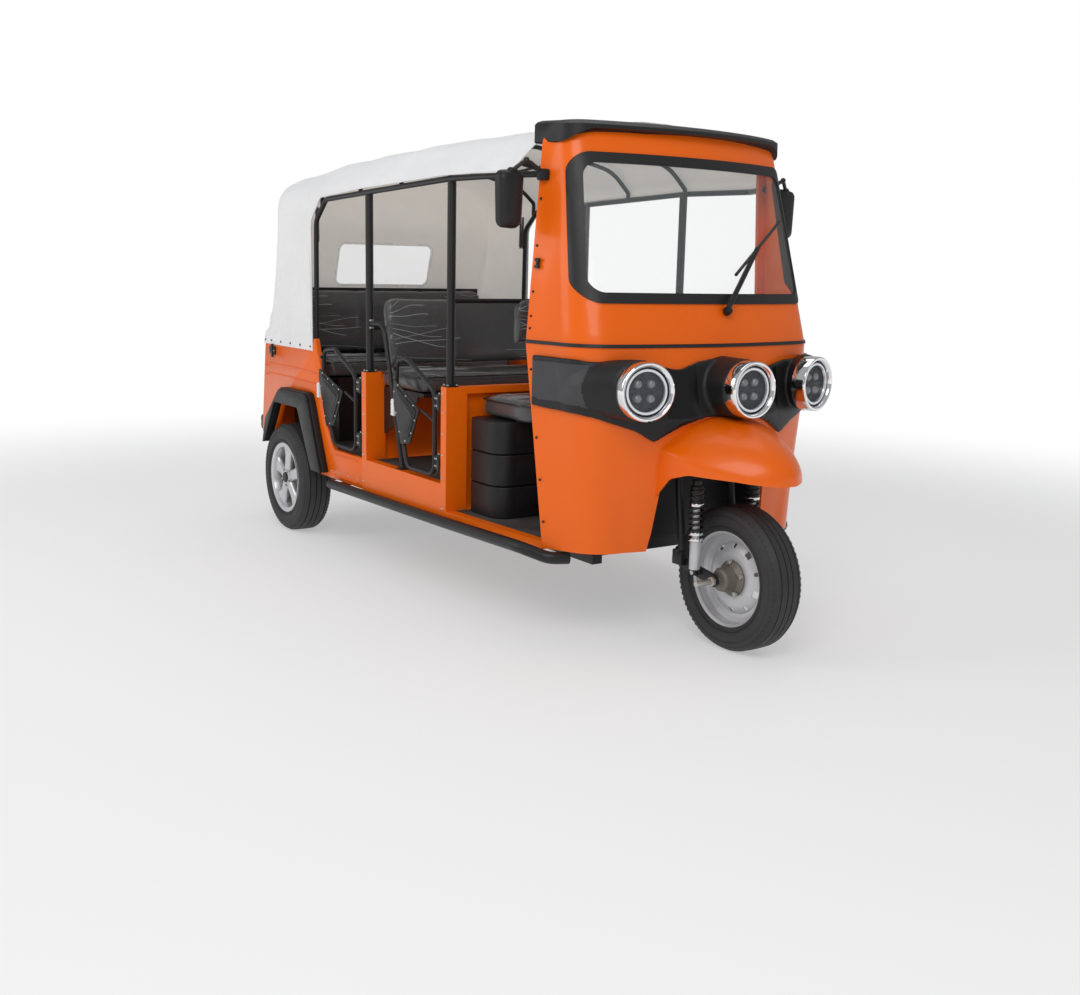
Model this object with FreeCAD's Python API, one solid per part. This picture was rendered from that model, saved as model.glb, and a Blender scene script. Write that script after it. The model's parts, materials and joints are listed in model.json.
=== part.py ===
import FreeCAD, Part
import math
import os

os.makedirs("parts", exist_ok=True)
V = FreeCAD.Vector

# Frame: X points to the vehicle's left, the front looks along -Y, Z is up and the
# ground is at 0. All sizes are in millimetres.

# Wheels and axles
WHEELBASE = 2465.0
FRONT_AXLE_Y = -1318.0
REAR_AXLE_Y = FRONT_AXLE_Y + WHEELBASE
FRONT_TYRE_RADIUS = 247.0
FRONT_TYRE_WIDTH = 135.0
REAR_TYRE_RADIUS = 254.0
REAR_TYRE_WIDTH = 145.0
RIM_SEAT_RADIUS = 152.0
RIM_WALL = 6.0
RIM_FLANGE = 16.0
BEAD_SETBACK = 15.5
REAR_WHEEL_X = 543.0
FRONT_AXLE_RADIUS = 10.0
REAR_AXLE_RADIUS = 15.0
RUNNING_FIT = 0.05
WHEEL_SIDES = 32
DISC_SLOTS = 10

# Body widths, heights and ends
REAR_END_Y = 1565.0
BODY_HALF = 574.0
PANEL = 40.0
SKIN = 24.0
FLOOR_SHEET = 6.0
MAT = 4.0
FRONT_FLOOR_Z = 351.0
REAR_FLOOR_Z = 451.0
SILL_BOTTOM_Z = 320.0
BULKHEAD_TOP_Z = 817.0
COLUMN_INNER_X = 484.0
BODY_TOP_Z = 894.0

# Posts and roof tubes
POST_RADIUS = 16.0
POST_X = 545.0
POST_A_Y = -317.0
POST_B_Y = 355.0
RAIL_RADIUS = 11.0
BAR_RADIUS = 9.0
TUBE_SIDES = 8
BEND_STEP = 30.0
CORNER_STEP = 18.0
FRONT_BAR_Z = 1132.0
REAR_BAR_Z = 1000.0
HOOP_RADIUS = 9.0

# Front cab shell
CAB_WALL = 14.0
WAIST_Z = 1012.0
CAB_TOP_Z = 1662.0
CAB_BOTTOM_Z = 330.0

# Steering
STEERING_RAKE = 16.0
STEERING_Y = -1140.0
STEERING_Z = 640.0
STEM_RADIUS = 15.0
FORK_X = 118.0
SHOCK_X = 127.0

# Half doors
DOOR_TUBE_RADIUS = 9.0
DOOR_X = 571.0
HINGE_RADIUS = 6.0
HINGE_PIN_RADIUS = 3.0
HINGE_X = 573.0
HINGE_STANDOFF = 13.0

# Cloth cover
COVER_HALF = 578.0
COVER_WALL = 8.0


def box(x, y, z):
    """Box from three (low, high) pairs."""
    return Part.makeBox(x[1] - x[0], y[1] - y[0], z[1] - z[0], V(x[0], y[0], z[0]))


def bar(start, end, radius):
    """Round bar between two points."""
    axis = V(*end) - V(*start)
    return Part.makeCylinder(radius, axis.Length, V(*start), axis)


def mirrored(shape):
    """The same shape on the other side of the vehicle."""
    return shape.mirror(V(0, 0, 0), V(1, 0, 0))


def both(shape):
    """The shape with its mirror image, as separate solids."""
    return Part.Compound([shape, mirrored(shape)])


def fused(shapes):
    """All shapes as one."""
    result = shapes[0]
    if len(shapes) > 1:
        result = shapes[0].fuse(shapes[1:])
    return result.removeSplitter()


def path_edges(points, radii, closed):
    """Straight runs joined by tangent arcs of the given corner radii."""
    count = len(points)
    entries = []
    for index in range(count):
        point = points[index]
        radius = radii[index]
        if radius == 0 or (not closed and index in (0, count - 1)):
            entries.append((point, None, point))
            continue
        back = (points[index - 1] - point).normalize()
        ahead = (points[(index + 1) % count] - point).normalize()
        half = back.getAngle(ahead) / 2
        reach = radius / math.tan(half)
        middle_line = (back + ahead).normalize()
        middle = point + middle_line * (radius / math.sin(half) - radius)
        entries.append((point + back * reach, middle, point + ahead * reach))
    edges = []
    for index in range(count):
        start, middle, end = entries[index]
        if middle is not None:
            edges.append(Part.Arc(start, middle, end).toShape())
        if index < count - 1 or closed:
            following = entries[(index + 1) % count][0]
            if (following - end).Length > 1e-6:
                edges.append(Part.LineSegment(end, following).toShape())
    return edges


def placed(axis, a, b, along):
    """Point from two plane coordinates and the one along the axis."""
    if axis == "x":
        return V(along, a, b)
    if axis == "y":
        return V(a, along, b)
    return V(a, b, along)


def prism(axis, outline, low, high, step=None):
    """Outline of (a, b) or (a, b, corner radius) pushed along an axis.

    With a step in degrees the corners are made of flats instead of arcs.
    """
    points = [placed(axis, item[0], item[1], low) for item in outline]
    radii = [item[2] if len(item) > 2 else 0 for item in outline]
    if step:
        route = bent_route(points, radii, True, step)
        wire = Part.makePolygon(route + route[:1])
    else:
        wire = Part.Wire(Part.__sortEdges__(path_edges(points, radii, True)))
    face = Part.Face(wire)
    solid = face.extrude(placed(axis, 0, 0, high - low))
    if solid.Volume < 0:
        solid.reverse()
    return solid


def chords(start, middle, end, count):
    """Points of an arc through three points, from start to end."""
    curve = Part.Arc(start, middle, end)
    first, last = curve.FirstParameter, curve.LastParameter
    return [curve.value(first + (last - first) * k / count) for k in range(count + 1)]


def flat_faces(corners):
    """One face, or two triangles where the four corners don't lie in a plane."""
    a, b, c, d = corners
    normal = (b - a).cross(c - a)
    if normal.Length < 1e-6 or abs(normal.normalize().dot(d - a)) > 1e-6:
        return [Part.Face(Part.makePolygon([a, b, c, a])), Part.Face(Part.makePolygon([a, c, d, a]))]
    return [Part.Face(Part.makePolygon([a, b, c, d, a]))]


def skinned(rings, around=False):
    """Solid through closed rings of as many points each, capped or joined end to end."""
    faces = []
    count = len(rings)
    for index in range(count if around else count - 1):
        near, far = rings[index], rings[(index + 1) % count]
        for k in range(len(near)):
            following = (k + 1) % len(near)
            faces += flat_faces([near[k], near[following], far[following], far[k]])
    if not around:
        faces += [Part.Face(Part.makePolygon(ring + ring[:1])) for ring in (rings[0], rings[-1])]
    solid = Part.Solid(Part.Shell(faces))
    if solid.Volume < 0:
        solid.reverse()
    return solid


def bent_route(points, radii, closed, step=BEND_STEP, runs=0):
    """Corner points of a line whose bends are made of short straight runs.

    The runs in a bend are counted from the step in degrees unless their number is given.
    """
    nodes = [V(*item) for item in points]
    count = len(nodes)
    route = []
    for index in range(count):
        point = nodes[index]
        if radii[index] == 0 or (not closed and index in (0, count - 1)):
            route.append(point)
            continue
        back = (nodes[index - 1] - point).normalize()
        ahead = (nodes[(index + 1) % count] - point).normalize()
        half = back.getAngle(ahead) / 2
        reach = radii[index] / math.tan(half)
        middle = point + (back + ahead).normalize() * (radii[index] / math.sin(half) - radii[index])
        count_here = runs or max(1, round((180 - math.degrees(2 * half)) / step))
        route += chords(point + back * reach, middle, point + ahead * reach, count_here)
    return route


def pipe(points, radii, radius, closed=False):
    """Tube with flats all round, mitred from one straight run to the next."""
    route = bent_route(points, radii, closed)
    count = len(route)
    axis = (route[1] - route[0]).normalize()
    across = axis.cross(V(1, 0, 0) if abs(axis.x) < 0.9 else V(0, 0, 1)).normalize()
    corner = across * (radius / math.cos(math.pi / TUBE_SIDES))
    turns = [360.0 * (k + 0.5) / TUBE_SIDES for k in range(TUBE_SIDES)]
    ring = [route[0] + FreeCAD.Rotation(axis, turn).multVec(corner) for turn in turns]
    rings = []
    for index, point in enumerate(route):
        behind = (point - route[index - 1]).normalize()
        ahead = (route[(index + 1) % count] - point).normalize()
        if not closed and index == 0:
            behind = ahead
        if not closed and index == count - 1:
            ahead = behind
        normal = (behind + ahead).normalize()
        run = ahead if index == 0 else behind
        ring = [item + run * ((point - item).dot(normal) / run.dot(normal)) for item in ring]
        rings.append(ring)
    return skinned(rings, around=closed)


def rod(start, end, radius):
    """Bar with flats between two points."""
    return pipe([start, end], [0, 0], radius)


def turned(profile, sides, centre=(0, 0, 0)):
    """Ring about an axle along X with flat sides, from a closed (x, radius) profile.

    A radius is measured to the middle of a flat, and one flat lies at the bottom.
    """
    rings = []
    for k in range(sides):
        angle = math.pi * (2 * k + 1) / sides - math.pi / 2
        rings.append([V(centre[0] + x, centre[1] + math.cos(angle) * r / math.cos(math.pi / sides),
                        centre[2] + math.sin(angle) * r / math.cos(math.pi / sides)) for x, r in profile])
    return skinned(rings, around=True)


def save(name, shape):
    """Write one sub-part."""
    shape.exportStep("parts/" + name + ".step")


# Flats that round a corner and the front of the cab
CORNER_FLATS = 4
FRONT_FLATS = 6
# Front cab: plan section at each level, from the door flange forwards to the nose.
# Columns: z, flange half width, flange y, side half width, side y,
# corner half width, corner y, nose y
LOWER_LEVELS = [
    (CAB_BOTTOM_Z, 538, -932, 492, -1030, 345, -1126, -1172),
    (780, 542, -857, 508, -1012, 425, -1138, -1228),
    (WAIST_Z, 544, -817, 526, -965, 440, -1126, -1184),
]
UPPER_LEVELS = [
    (WAIST_Z, 544, -817, 526, -965, 440, -1126, -1184),
    (CAB_TOP_Z, 500, -827, 474, -866, 402, -946, -1006),
]


def cab_section(level, offset, back):
    """Points round the plan section of the cab, moved outwards by an offset."""
    z, flange_x, flange_y, side_x, side_y, corner_x, corner_y, nose_y = level
    flange = V(flange_x + offset, flange_y + back, z)
    side = V(side_x + offset, side_y, z)
    corner = V(corner_x + 0.5 * offset, corner_y - 0.87 * offset, z)
    nose = V(0, nose_y - offset, z)
    chord = (side + corner) * 0.5
    across = V(corner.y - side.y, side.x - corner.x, 0).normalize()
    swell = -0.16 * (side - corner).Length
    bulge = chord + across * swell
    round_corner = chords(side, bulge, corner, CORNER_FLATS)
    front = chords(corner, nose, V(-corner.x, corner.y, z), FRONT_FLATS)
    left = [flange] + round_corner
    right = [V(-p.x, p.y, p.z) for p in reversed(left)]
    points = left + front[1:-1] + right
    return points


def cab_loft(levels, offset, back=0.0):
    """Solid of the cab between levels, moved outwards by an offset."""
    return skinned([cab_section(level, offset, back) for level in levels])


def cab_block(levels):
    """Filled cab, also behind its flange, that other pieces are cut by."""
    return [cab_loft(levels, 0), cab_loft(levels, 0, 200)]


# Windscreen opening in the front view: x, z, corner radius
WINDSCREEN = [(-522, 1151, 60), (522, 1151, 60), (447, 1630, 60), (-447, 1630, 60)]
RUBBER_WIDTH = 34.0
RUBBER_PROUD = 4.0


def windscreen_prism(inset, y_back):
    """The windscreen outline, made smaller all round by an inset."""
    outline = []
    for x, z, radius in WINDSCREEN:
        side = math.copysign(1, x)
        up = 1 if z < 1400 else -1
        outline.append((x - side * inset, z + up * inset, radius - inset * 0.6))
    return prism("y", outline, -1400, y_back, CORNER_STEP)


# Front mudguard
GUARD_WALL = 4.0
GUARD_FLATS = 8
# Columns: y, half width, lower z, side height z, crest z
GUARD_SECTIONS = [
    (-1100, 232, 470, 700, 800),
    (-1300, 232, 470, 655, 776),
    (-1440, 205, 470, 628, 722),
    (-1510, 120, 470, 610, 676),
    (-1540, 62, 470, 630, 660),
]


def guard_section(row, inset):
    """Points round the mudguard's cross section at one place along it."""
    y, half, low, side, crest = row
    left = V(half - inset, y, side)
    right = V(inset - half, y, side)
    top = chords(left, V(0, y, crest - inset), right, GUARD_FLATS)
    return top + [V(inset - half, y, low), V(half - inset, y, low)]


def guard_solid(inset):
    """Outer or inner form of the mudguard with its rounded tip."""
    return skinned([guard_section(row, inset) for row in GUARD_SECTIONS])


# Side view outlines, as y, z and a corner radius
GUARD_UNDERSIDE = [(-1000, 400), (-1118, 505, 0), (-1150, 560, 40), (-1230, 598, 60),
                   (-1340, 614, 60), (-1440, 606, 60), (-1560, 584), (-1700, 584), (-1700, 400)]
REAR_SIDE = [(375, SILL_BOTTOM_Z), (806, SILL_BOTTOM_Z), (816, 338), (967, 602, 20), (1242, 601, 20),
             (1371, 404), (1380, 392), (1506, 430, 20), (1439, BODY_TOP_Z), (875, BODY_TOP_Z),
             (862, 925, 8), (846, 925, 10), (828, 868, 30), (780, 789, 30), (726, 543, 40),
             (661, REAR_FLOOR_Z, 20), (375, REAR_FLOOR_Z)]
FLARE_OUTER = [(1408, 396), (1364, 522, 30), (1190, 680, 50), (865, 684, 50), (716, 340)]
FLARE_INNER = [(822, 340), (967, 604, 20), (1242, 604, 20), (1380, 396)]

# Half door tube loops and panels in the side view: y, z, corner radius
DOOR_TUBES = [
    [(-247, 476, 45), (-247, 795, 60), (-20, 902, 50), (64, 885, 40), (64, 725, 60), (-28, 476, 50)],
    [(437, 476, 45), (437, 795, 60), (640, 893, 50), (762, 880, 45), (762, 770, 60), (664, 476, 50)],
]
DOOR_PANELS = [
    [(74, 820, 8), (-140, 714, 8), (-132, 698, 8), (-67, 576, 14), (12, 560, 14), (74, 723, 8)],
    [(790, 800, 8), (546, 718, 8), (556, 700, 8), (640, 560, 14), (722, 548, 14), (796, 760, 8)],
]
DOOR_BRACES = [((-140, 712), (-247, 678)), ((546, 716), (437, 682))]
DOOR_HINGE_FACES = [POST_A_Y + PANEL / 2, POST_B_Y + PANEL / 2]
HINGE_SPANS = [(496, 560), (724, 788)]


def steering_point(z, x=0.0, ahead=0.0):
    """Point on the steering axis at height z, moved sideways and forwards."""
    y = STEERING_Y + (z - STEERING_Z) * math.tan(math.radians(STEERING_RAKE))
    return (x, y - ahead, z)


def make_cab():
    """Orange nose, windscreen surround, glass, rubber, waist strip and roof visor."""
    inner_low = cab_loft(LOWER_LEVELS, -CAB_WALL, 80)
    nose = cab_loft(LOWER_LEVELS, 0).cut(inner_low)
    arch = prism("y", [(-268, 300), (268, 300), (250, 390, 100), (232, 560, 60), (190, 690, 70),
                       (-190, 690, 70), (-232, 560, 60), (-250, 390, 100)], -1400, -1050)
    nose = nose.cut(arch)
    pillar_low = box((470, 600), (-990, -700), (CAB_BOTTOM_Z, WAIST_Z))
    pillar_low = pillar_low.common(cab_loft(LOWER_LEVELS, -2))
    cavity_low = cab_loft(LOWER_LEVELS, -46, 80)
    behind = cab_loft([(z, fx, fy - 40, sx, sy, cx, cy, ny)
                       for z, fx, fy, sx, sy, cx, cy, ny in LOWER_LEVELS], 0)
    pillar_low = pillar_low.cut(cavity_low).cut(behind)
    nose = fused([nose, pillar_low, mirrored(pillar_low)])

    inner_up = cab_loft(UPPER_LEVELS, -CAB_WALL, 80)
    surround = cab_loft(UPPER_LEVELS, 0).cut(inner_up)
    pillar_up = box((430, 600), (-940, -700), (WAIST_Z, CAB_TOP_Z))
    pillar_up = pillar_up.common(cab_loft(UPPER_LEVELS, -2))
    behind = cab_loft([(z, fx, fy - 36, sx, sy, cx, cy, ny)
                       for z, fx, fy, sx, sy, cx, cy, ny in UPPER_LEVELS], 0)
    pillar_up = pillar_up.cut(cab_loft(UPPER_LEVELS, -40, 80)).cut(behind)
    surround = surround.fuse([pillar_up, mirrored(pillar_up)])
    surround = surround.cut(windscreen_prism(0, -880)).removeSplitter()

    band = cab_loft(UPPER_LEVELS, RUBBER_PROUD).cut(cab_loft(UPPER_LEVELS, -8, 80))
    glass_layer = cab_loft(UPPER_LEVELS, -1).cut(cab_loft(UPPER_LEVELS, -6, 80))
    opening = windscreen_prism(RUBBER_WIDTH, -880)
    rubber = band.common(windscreen_prism(0, -880)).cut(opening)
    glass = glass_layer.common(opening)

    strip_levels = [(z,) + LOWER_LEVELS[-1][1:] for z in (WAIST_Z, WAIST_Z + 9)]
    strip = cab_loft(strip_levels, 4).cut(cab_loft(strip_levels, 0))
    return nose, surround, rubber, glass, strip


def make_visor():
    """Black cap over the windscreen."""
    low = (CAB_TOP_Z, 505, -790, 474, -880, 410, -956, -1026)
    middle = (CAB_TOP_Z + 40, 506, -790, 474, -884, 408, -960, -1030)
    high = (CAB_TOP_Z + 84, 450, -790, 420, -850, 360, -915, -975)
    return cab_loft([low, middle, high], 0)


# Lamp mask in the front view: x, z of the right half, from the flange to the centre
MASK_TOP = [(600, 984), (480, 968), (300, 962), (190, 940), (110, 968), (0, 980)]
MASK_LOW = [(0, 786), (100, 784), (180, 757), (283, 709), (300, 745), (350, 757), (470, 785), (600, 822)]
LAMP_X = 379.0
LAMP_Z = 881.0
LAMP_RADIUS = 95.0
LENS_RADIUS = 68.0
SIDE_LAMP_Y = -1273.0
CENTRE_LAMP_Y = -1354.0
LAMP_SPLAY = 12.0
BEZEL_DEPTH = 50.0
BEZEL_BORE = 30.0
LAMP_SIDES = 24


def lamp_axis(x):
    """Direction in which a lamp looks."""
    turn = math.radians(LAMP_SPLAY if x else 0.0)
    return V(math.copysign(math.sin(turn), x) if x else 0.0, -math.cos(turn), 0)


def flat_ring(centre, axis, radius):
    """Corner points of a many-sided ring across a level axis."""
    across = V(-axis.y, axis.x, 0)
    ring = []
    for k in range(LAMP_SIDES):
        angle = 2 * math.pi * (k + 0.5) / LAMP_SIDES
        ring.append(centre + across * (radius * math.cos(angle)) + V(0, 0, radius * math.sin(angle)))
    return ring


def make_lamps(nose):
    """Black mask with three pods, bezels and lenses."""
    outline = MASK_LOW + [(x, z) for x, z in MASK_TOP]
    outline = outline + [(-x, z) for x, z in reversed(MASK_TOP[:-1])]
    outline = outline + [(-x, z) for x, z in reversed(MASK_LOW[1:])]
    shape = prism("y", outline, -1500, -868, CORNER_STEP)
    mask = cab_loft(LOWER_LEVELS, 16).common(shape)
    pods = []
    bezels = []
    lenses = []
    for x, y in ((-LAMP_X, SIDE_LAMP_Y), (0.0, CENTRE_LAMP_Y), (LAMP_X, SIDE_LAMP_Y)):
        axis = lamp_axis(x)
        face = V(x, y, LAMP_Z)
        seat = face - axis * BEZEL_DEPTH
        rear = V(x * 1.06, -1030, LAMP_Z - 3)
        pods.append(skinned([flat_ring(rear, V(0, -1, 0), LAMP_RADIUS),
                             flat_ring(seat, axis, LAMP_RADIUS + 3)]))
        cup = LENS_RADIUS + 8
        steps = [(0, LAMP_RADIUS), (BEZEL_DEPTH, LAMP_RADIUS), (BEZEL_DEPTH, LAMP_RADIUS - 6),
                 (BEZEL_DEPTH - 20, cup), (4, cup), (4, BEZEL_BORE), (0, BEZEL_BORE)]
        bezels.append(skinned([flat_ring(seat + axis * along, axis, radius) for along, radius in steps],
                              around=True))
        lenses.append(skinned([flat_ring(seat + axis * along, axis, cup - 0.2) for along in (4, 30)]))
    mask = mask.fuse(pods).cut(cab_block(LOWER_LEVELS) + [nose]).removeSplitter()
    mask = max(mask.Solids, key=lambda solid: solid.Volume)
    return mask, Part.Compound(bezels), Part.Compound(lenses)


def make_mudguard(body):
    """Fixed orange mudguard over the front wheel."""
    outer = guard_solid(0)
    inner = guard_solid(GUARD_WALL)
    guard = outer.cut(inner)
    guard = guard.cut(prism("x", GUARD_UNDERSIDE, -400, 400))
    guard = guard.cut(body)
    return max(guard.Solids, key=lambda solid: solid.Volume)


def make_wheelhouse():
    """Black liner between the front wheel and the driver's feet."""
    outer = [(y, z) for y, z in ((-975, 300), (-1000, 640), (-1040, 715), (-1400, 715), (-1400, 300))]
    inner = [(-981, 299), (-1006, 638), (-1043, 709), (-1401, 709), (-1401, 299)]
    liner = prism("x", outer, -272, 272).cut(prism("x", inner, -266, 266))
    liner = liner.common(cab_loft(LOWER_LEVELS, -CAB_WALL, 80))
    liner = liner.cut(bar(steering_point(600), steering_point(800), STEM_RADIUS + 12))
    return max(liner.Solids, key=lambda solid: solid.Volume)


def make_dashboard():
    """Black dash panel under the windscreen."""
    profile = [(-1230, 1018), (-1090, 1018, 8), (-1080, 1044, 8), (-1230, 1060)]
    dash = prism("x", profile, -430, 430)
    return dash.common(cab_loft(UPPER_LEVELS, -CAB_WALL, 80))


# Chassis rail in the side view: y, z
RAIL_PROFILE = [(-1060, 285), (-360, 285, 30), (-250, 385, 30), (1470, 385), (1470, 445),
                (-276, 445, 30), (-386, 345, 30), (-1060, 345)]
RAIL_X = (380.0, 420.0)
CROSS_RAILS = [(-950, 285, 345), (-640, 285, 345), (100, 385, 445), (560, 385, 445),
               (900, 385, 445), (1420, 385, 445)]


def make_chassis():
    """Ladder frame with the steering head and its two struts."""
    rail = prism("x", RAIL_PROFILE, *RAIL_X)
    parts = [rail, mirrored(rail)]
    for y, low, high in CROSS_RAILS:
        parts.append(box((-RAIL_X[0], RAIL_X[0]), (y - 20, y + 20), (low, high)))
    for side in (-1, 1):
        points = [(side * 62, -948, 340), (side * 40, -966, 690), (side * 22, -1092, 812)]
        parts.append(pipe(points, [0, 60, 0], 13))
    head = bar(steering_point(745), steering_point(880), STEM_RADIUS + 10)
    parts.append(head)
    frame = fused(parts)
    return frame.cut(bar(steering_point(700), steering_point(940), STEM_RADIUS + RUNNING_FIT))


def make_floor(cut_by):
    """Steel floor in two levels, with its mats."""
    front = prism("z", [(534, -337), (504, -932), (-504, -932), (-534, -337)],
                  FRONT_FLOOR_Z - FLOOR_SHEET - MAT, FRONT_FLOOR_Z - MAT)
    rear = box((-534, 534), (-297, 335), (REAR_FLOOR_Z - FLOOR_SHEET - MAT, REAR_FLOOR_Z - MAT))
    tub = box((-550, 550), (375, 1412), (REAR_FLOOR_Z - FLOOR_SHEET - MAT, REAR_FLOOR_Z - MAT))
    wheel_slot = box((450, 600), (800, 1412), (400, 500))
    tub = tub.cut(wheel_slot).cut(mirrored(wheel_slot))
    floor = Part.Compound([part.cut(cut_by) for part in (front, rear, tub)])
    mat_front = prism("z", [(530, -340), (504, -900), (-504, -900), (-530, -340)],
                      FRONT_FLOOR_Z - MAT, FRONT_FLOOR_Z)
    mat_rear = box((-530, 530), (-294, 332), (REAR_FLOOR_Z - MAT, REAR_FLOOR_Z))
    mat_tub = box((-546, 546), (378, 874), (REAR_FLOOR_Z - MAT, REAR_FLOOR_Z))
    mat_tub = mat_tub.cut(wheel_slot).cut(mirrored(wheel_slot))
    return floor, Part.Compound([mat_front.cut(cut_by), mat_rear, mat_tub])


def make_bulkhead(y, foot_z):
    """Transverse panel with a column at each side and a lip along its top."""
    low = y - PANEL / 2
    high = y + PANEL / 2
    column = box((COLUMN_INNER_X, BODY_HALF), (low, high), (SILL_BOTTOM_Z, BULKHEAD_TOP_Z))
    panel = box((-COLUMN_INNER_X, COLUMN_INNER_X), (high - 14, high), (foot_z - FLOOR_SHEET - MAT, BULKHEAD_TOP_Z))
    lip = box((-COLUMN_INNER_X, COLUMN_INNER_X), (low, high), (BULKHEAD_TOP_Z - 26, BULKHEAD_TOP_Z))
    return fused([column, mirrored(column), panel, lip])


def make_sills():
    """Front step and middle sill of each side."""
    low = POST_A_Y - PANEL / 2
    front = prism("z", [(BODY_HALF, low), (540, -932), (504, -932), (534, low)],
                  SILL_BOTTOM_Z + 5, FRONT_FLOOR_Z)
    middle = box((BODY_HALF - PANEL, BODY_HALF), (POST_A_Y + PANEL / 2, POST_B_Y - PANEL / 2),
                 (SILL_BOTTOM_Z, REAR_FLOOR_Z))
    return Part.Compound([front, mirrored(front), middle, mirrored(middle)])


def make_rear_body():
    """Orange rear tub: two sides and a rear panel."""
    side = prism("x", REAR_SIDE, BODY_HALF - SKIN, BODY_HALF)
    back = prism("x", [(1506 - SKIN, 422.8), (1506, 430, 20), (1439, BODY_TOP_Z), (1439 - SKIN, BODY_TOP_Z)],
                 -BODY_HALF + SKIN, BODY_HALF - SKIN)
    # wheel boxes inside the tub
    wall = 4.0
    outer = prism("x", [(812, 441), (812, 612), (1394, 612), (1394, 441)], 450, BODY_HALF - SKIN)
    inner = prism("x", [(816, 440), (816, 608), (1390, 608), (1390, 440)], 450 + wall, BODY_HALF)
    house = outer.cut(inner)
    return fused([side, mirrored(side), back, house, mirrored(house)])


def make_flares():
    """Black wheel arch flares."""
    flare = prism("x", FLARE_OUTER + FLARE_INNER, BODY_HALF, 618)
    return both(flare)


def make_posts():
    """Four upright posts on the bulkheads with the bars that carry the backrests."""
    posts = []
    for y, top in ((POST_A_Y, 1566), (POST_B_Y, 1543)):
        for side in (-1, 1):
            x = side * POST_X
            posts.append(bar((x, y, BULKHEAD_TOP_Z), (x, y, top - RAIL_RADIUS + 1), POST_RADIUS))
    front_bar = bar((-POST_X, POST_A_Y, FRONT_BAR_Z), (POST_X, POST_A_Y, FRONT_BAR_Z), BAR_RADIUS)
    rear_bar = bar((-POST_X, POST_B_Y, REAR_BAR_Z), (POST_X, POST_B_Y, REAR_BAR_Z), BAR_RADIUS)
    rail = make_grab_rail()
    front = fused([posts[0], posts[1], front_bar])
    rear = fused([posts[2], posts[3], rear_bar, rail, mirrored(rail)])
    return [front, rear]


# Roof rail of the left-hand side: x, y, z
ROOF_RAIL = [(486, -850, 1560), (552, -700, 1560), (552, -317, 1566), (552, 355, 1543),
             (552, 760, 1528), (552, 868, 1440), (552, 876, 900)]
RAIL_BENDS = [0, 60, 60, 60, 60, 60, 0]
# Hoops: y and the height of the rail there
HOOPS = [(-317, 1566), (60, 1553), (420, 1541), (800, 1496)]

# Roof arch along the vehicle: y, shoulder z, knee z, crown z before the bends are rounded
ARCHES = [(-800, 1588, 1690, 1786), (-589, 1590, 1698, 1796), (60, 1590, 1700, 1798),
          (713, 1580, 1682, 1776), (1300, 1556, 1636, 1712), (1600, 1556, 1600, 1680)]
KNEE_X = 470.0
SHOULDER_BEND = 60.0
KNEE_BEND = 200.0
CROWN_BEND = 1000.0
# Cover in the side view, outer face: y, z, corner radius
COVER_SIDE = [(-900, 850), (-900, 1802), (713, 1786, 900), (1262, 1700, 120), (1252, 1440, 60),
              (1330, 1179, 200), (1460, 850)]
COVER_FRONT_Y = -789.7
COVER_RUNS = 4


def arch_at(y):
    """Shoulder, knee and crown heights of the roof arch at one place along it."""
    for front, rear in zip(ARCHES, ARCHES[1:]):
        if front[0] <= y <= rear[0]:
            share = (y - front[0]) / (rear[0] - front[0])
            return [a + (b - a) * share for a, b in zip(front[1:], rear[1:])]
    return list(ARCHES[-1][1:])


def arch_half(y, inset):
    """Right half of the arch from the shoulder to the crown, moved inwards: x, z, bend."""
    shoulder, knee, crown = arch_at(y)
    return [(-COVER_HALF + inset, shoulder - 0.41 * inset, SHOULDER_BEND),
            (-KNEE_X + 0.5 * inset, knee - 0.91 * inset, KNEE_BEND - inset),
            (0, crown - 1.02 * inset, CROWN_BEND - inset)]


def make_roof_frame(neighbours):
    """Side rails and roof hoops, cut where they meet the body."""
    parts = []
    for side in (-1, 1):
        points = [(side * x, y, z) for x, y, z in ROOF_RAIL]
        parts.append(pipe(points, RAIL_BENDS, RAIL_RADIUS))
    rail_x = ROOF_RAIL[1][0]
    for y, low in HOOPS:
        shoulder, knee, crown = arch_half(y, COVER_WALL + HOOP_RADIUS + 0.4)
        side_z = knee[1] - (rail_x + knee[0]) * (knee[1] - shoulder[1]) / (knee[0] - shoulder[0])
        points = [(-rail_x, y, low), (-rail_x, y, side_z), (knee[0], y, knee[1]), (0, y, crown[1]),
                  (-knee[0], y, knee[1]), (rail_x, y, side_z), (rail_x, y, low)]
        parts.append(pipe(points, [0, 20, KNEE_BEND, CROWN_BEND, KNEE_BEND, 20, 0], HOOP_RADIUS))
    return fused(parts).cut(neighbours)


def cover_solid(inset):
    """Outer or inner form of the cloth cover."""
    sections = []
    for y in [arch[0] for arch in ARCHES]:
        half = [(-COVER_HALF + inset, 700, 0)] + arch_half(y, inset)
        outline = half + [(-x, z, bend) for x, z, bend in reversed(half[:-1])]
        points = [V(x, y, z) for x, z, bend in outline]
        sections.append(bent_route(points, [item[2] for item in outline], True, runs=COVER_RUNS))
    side = prism("x", [(y - inset, z - inset, *rest) for y, z, *rest in COVER_SIDE], -700, 700, CORNER_STEP)
    return skinned(sections).common(side)


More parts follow.
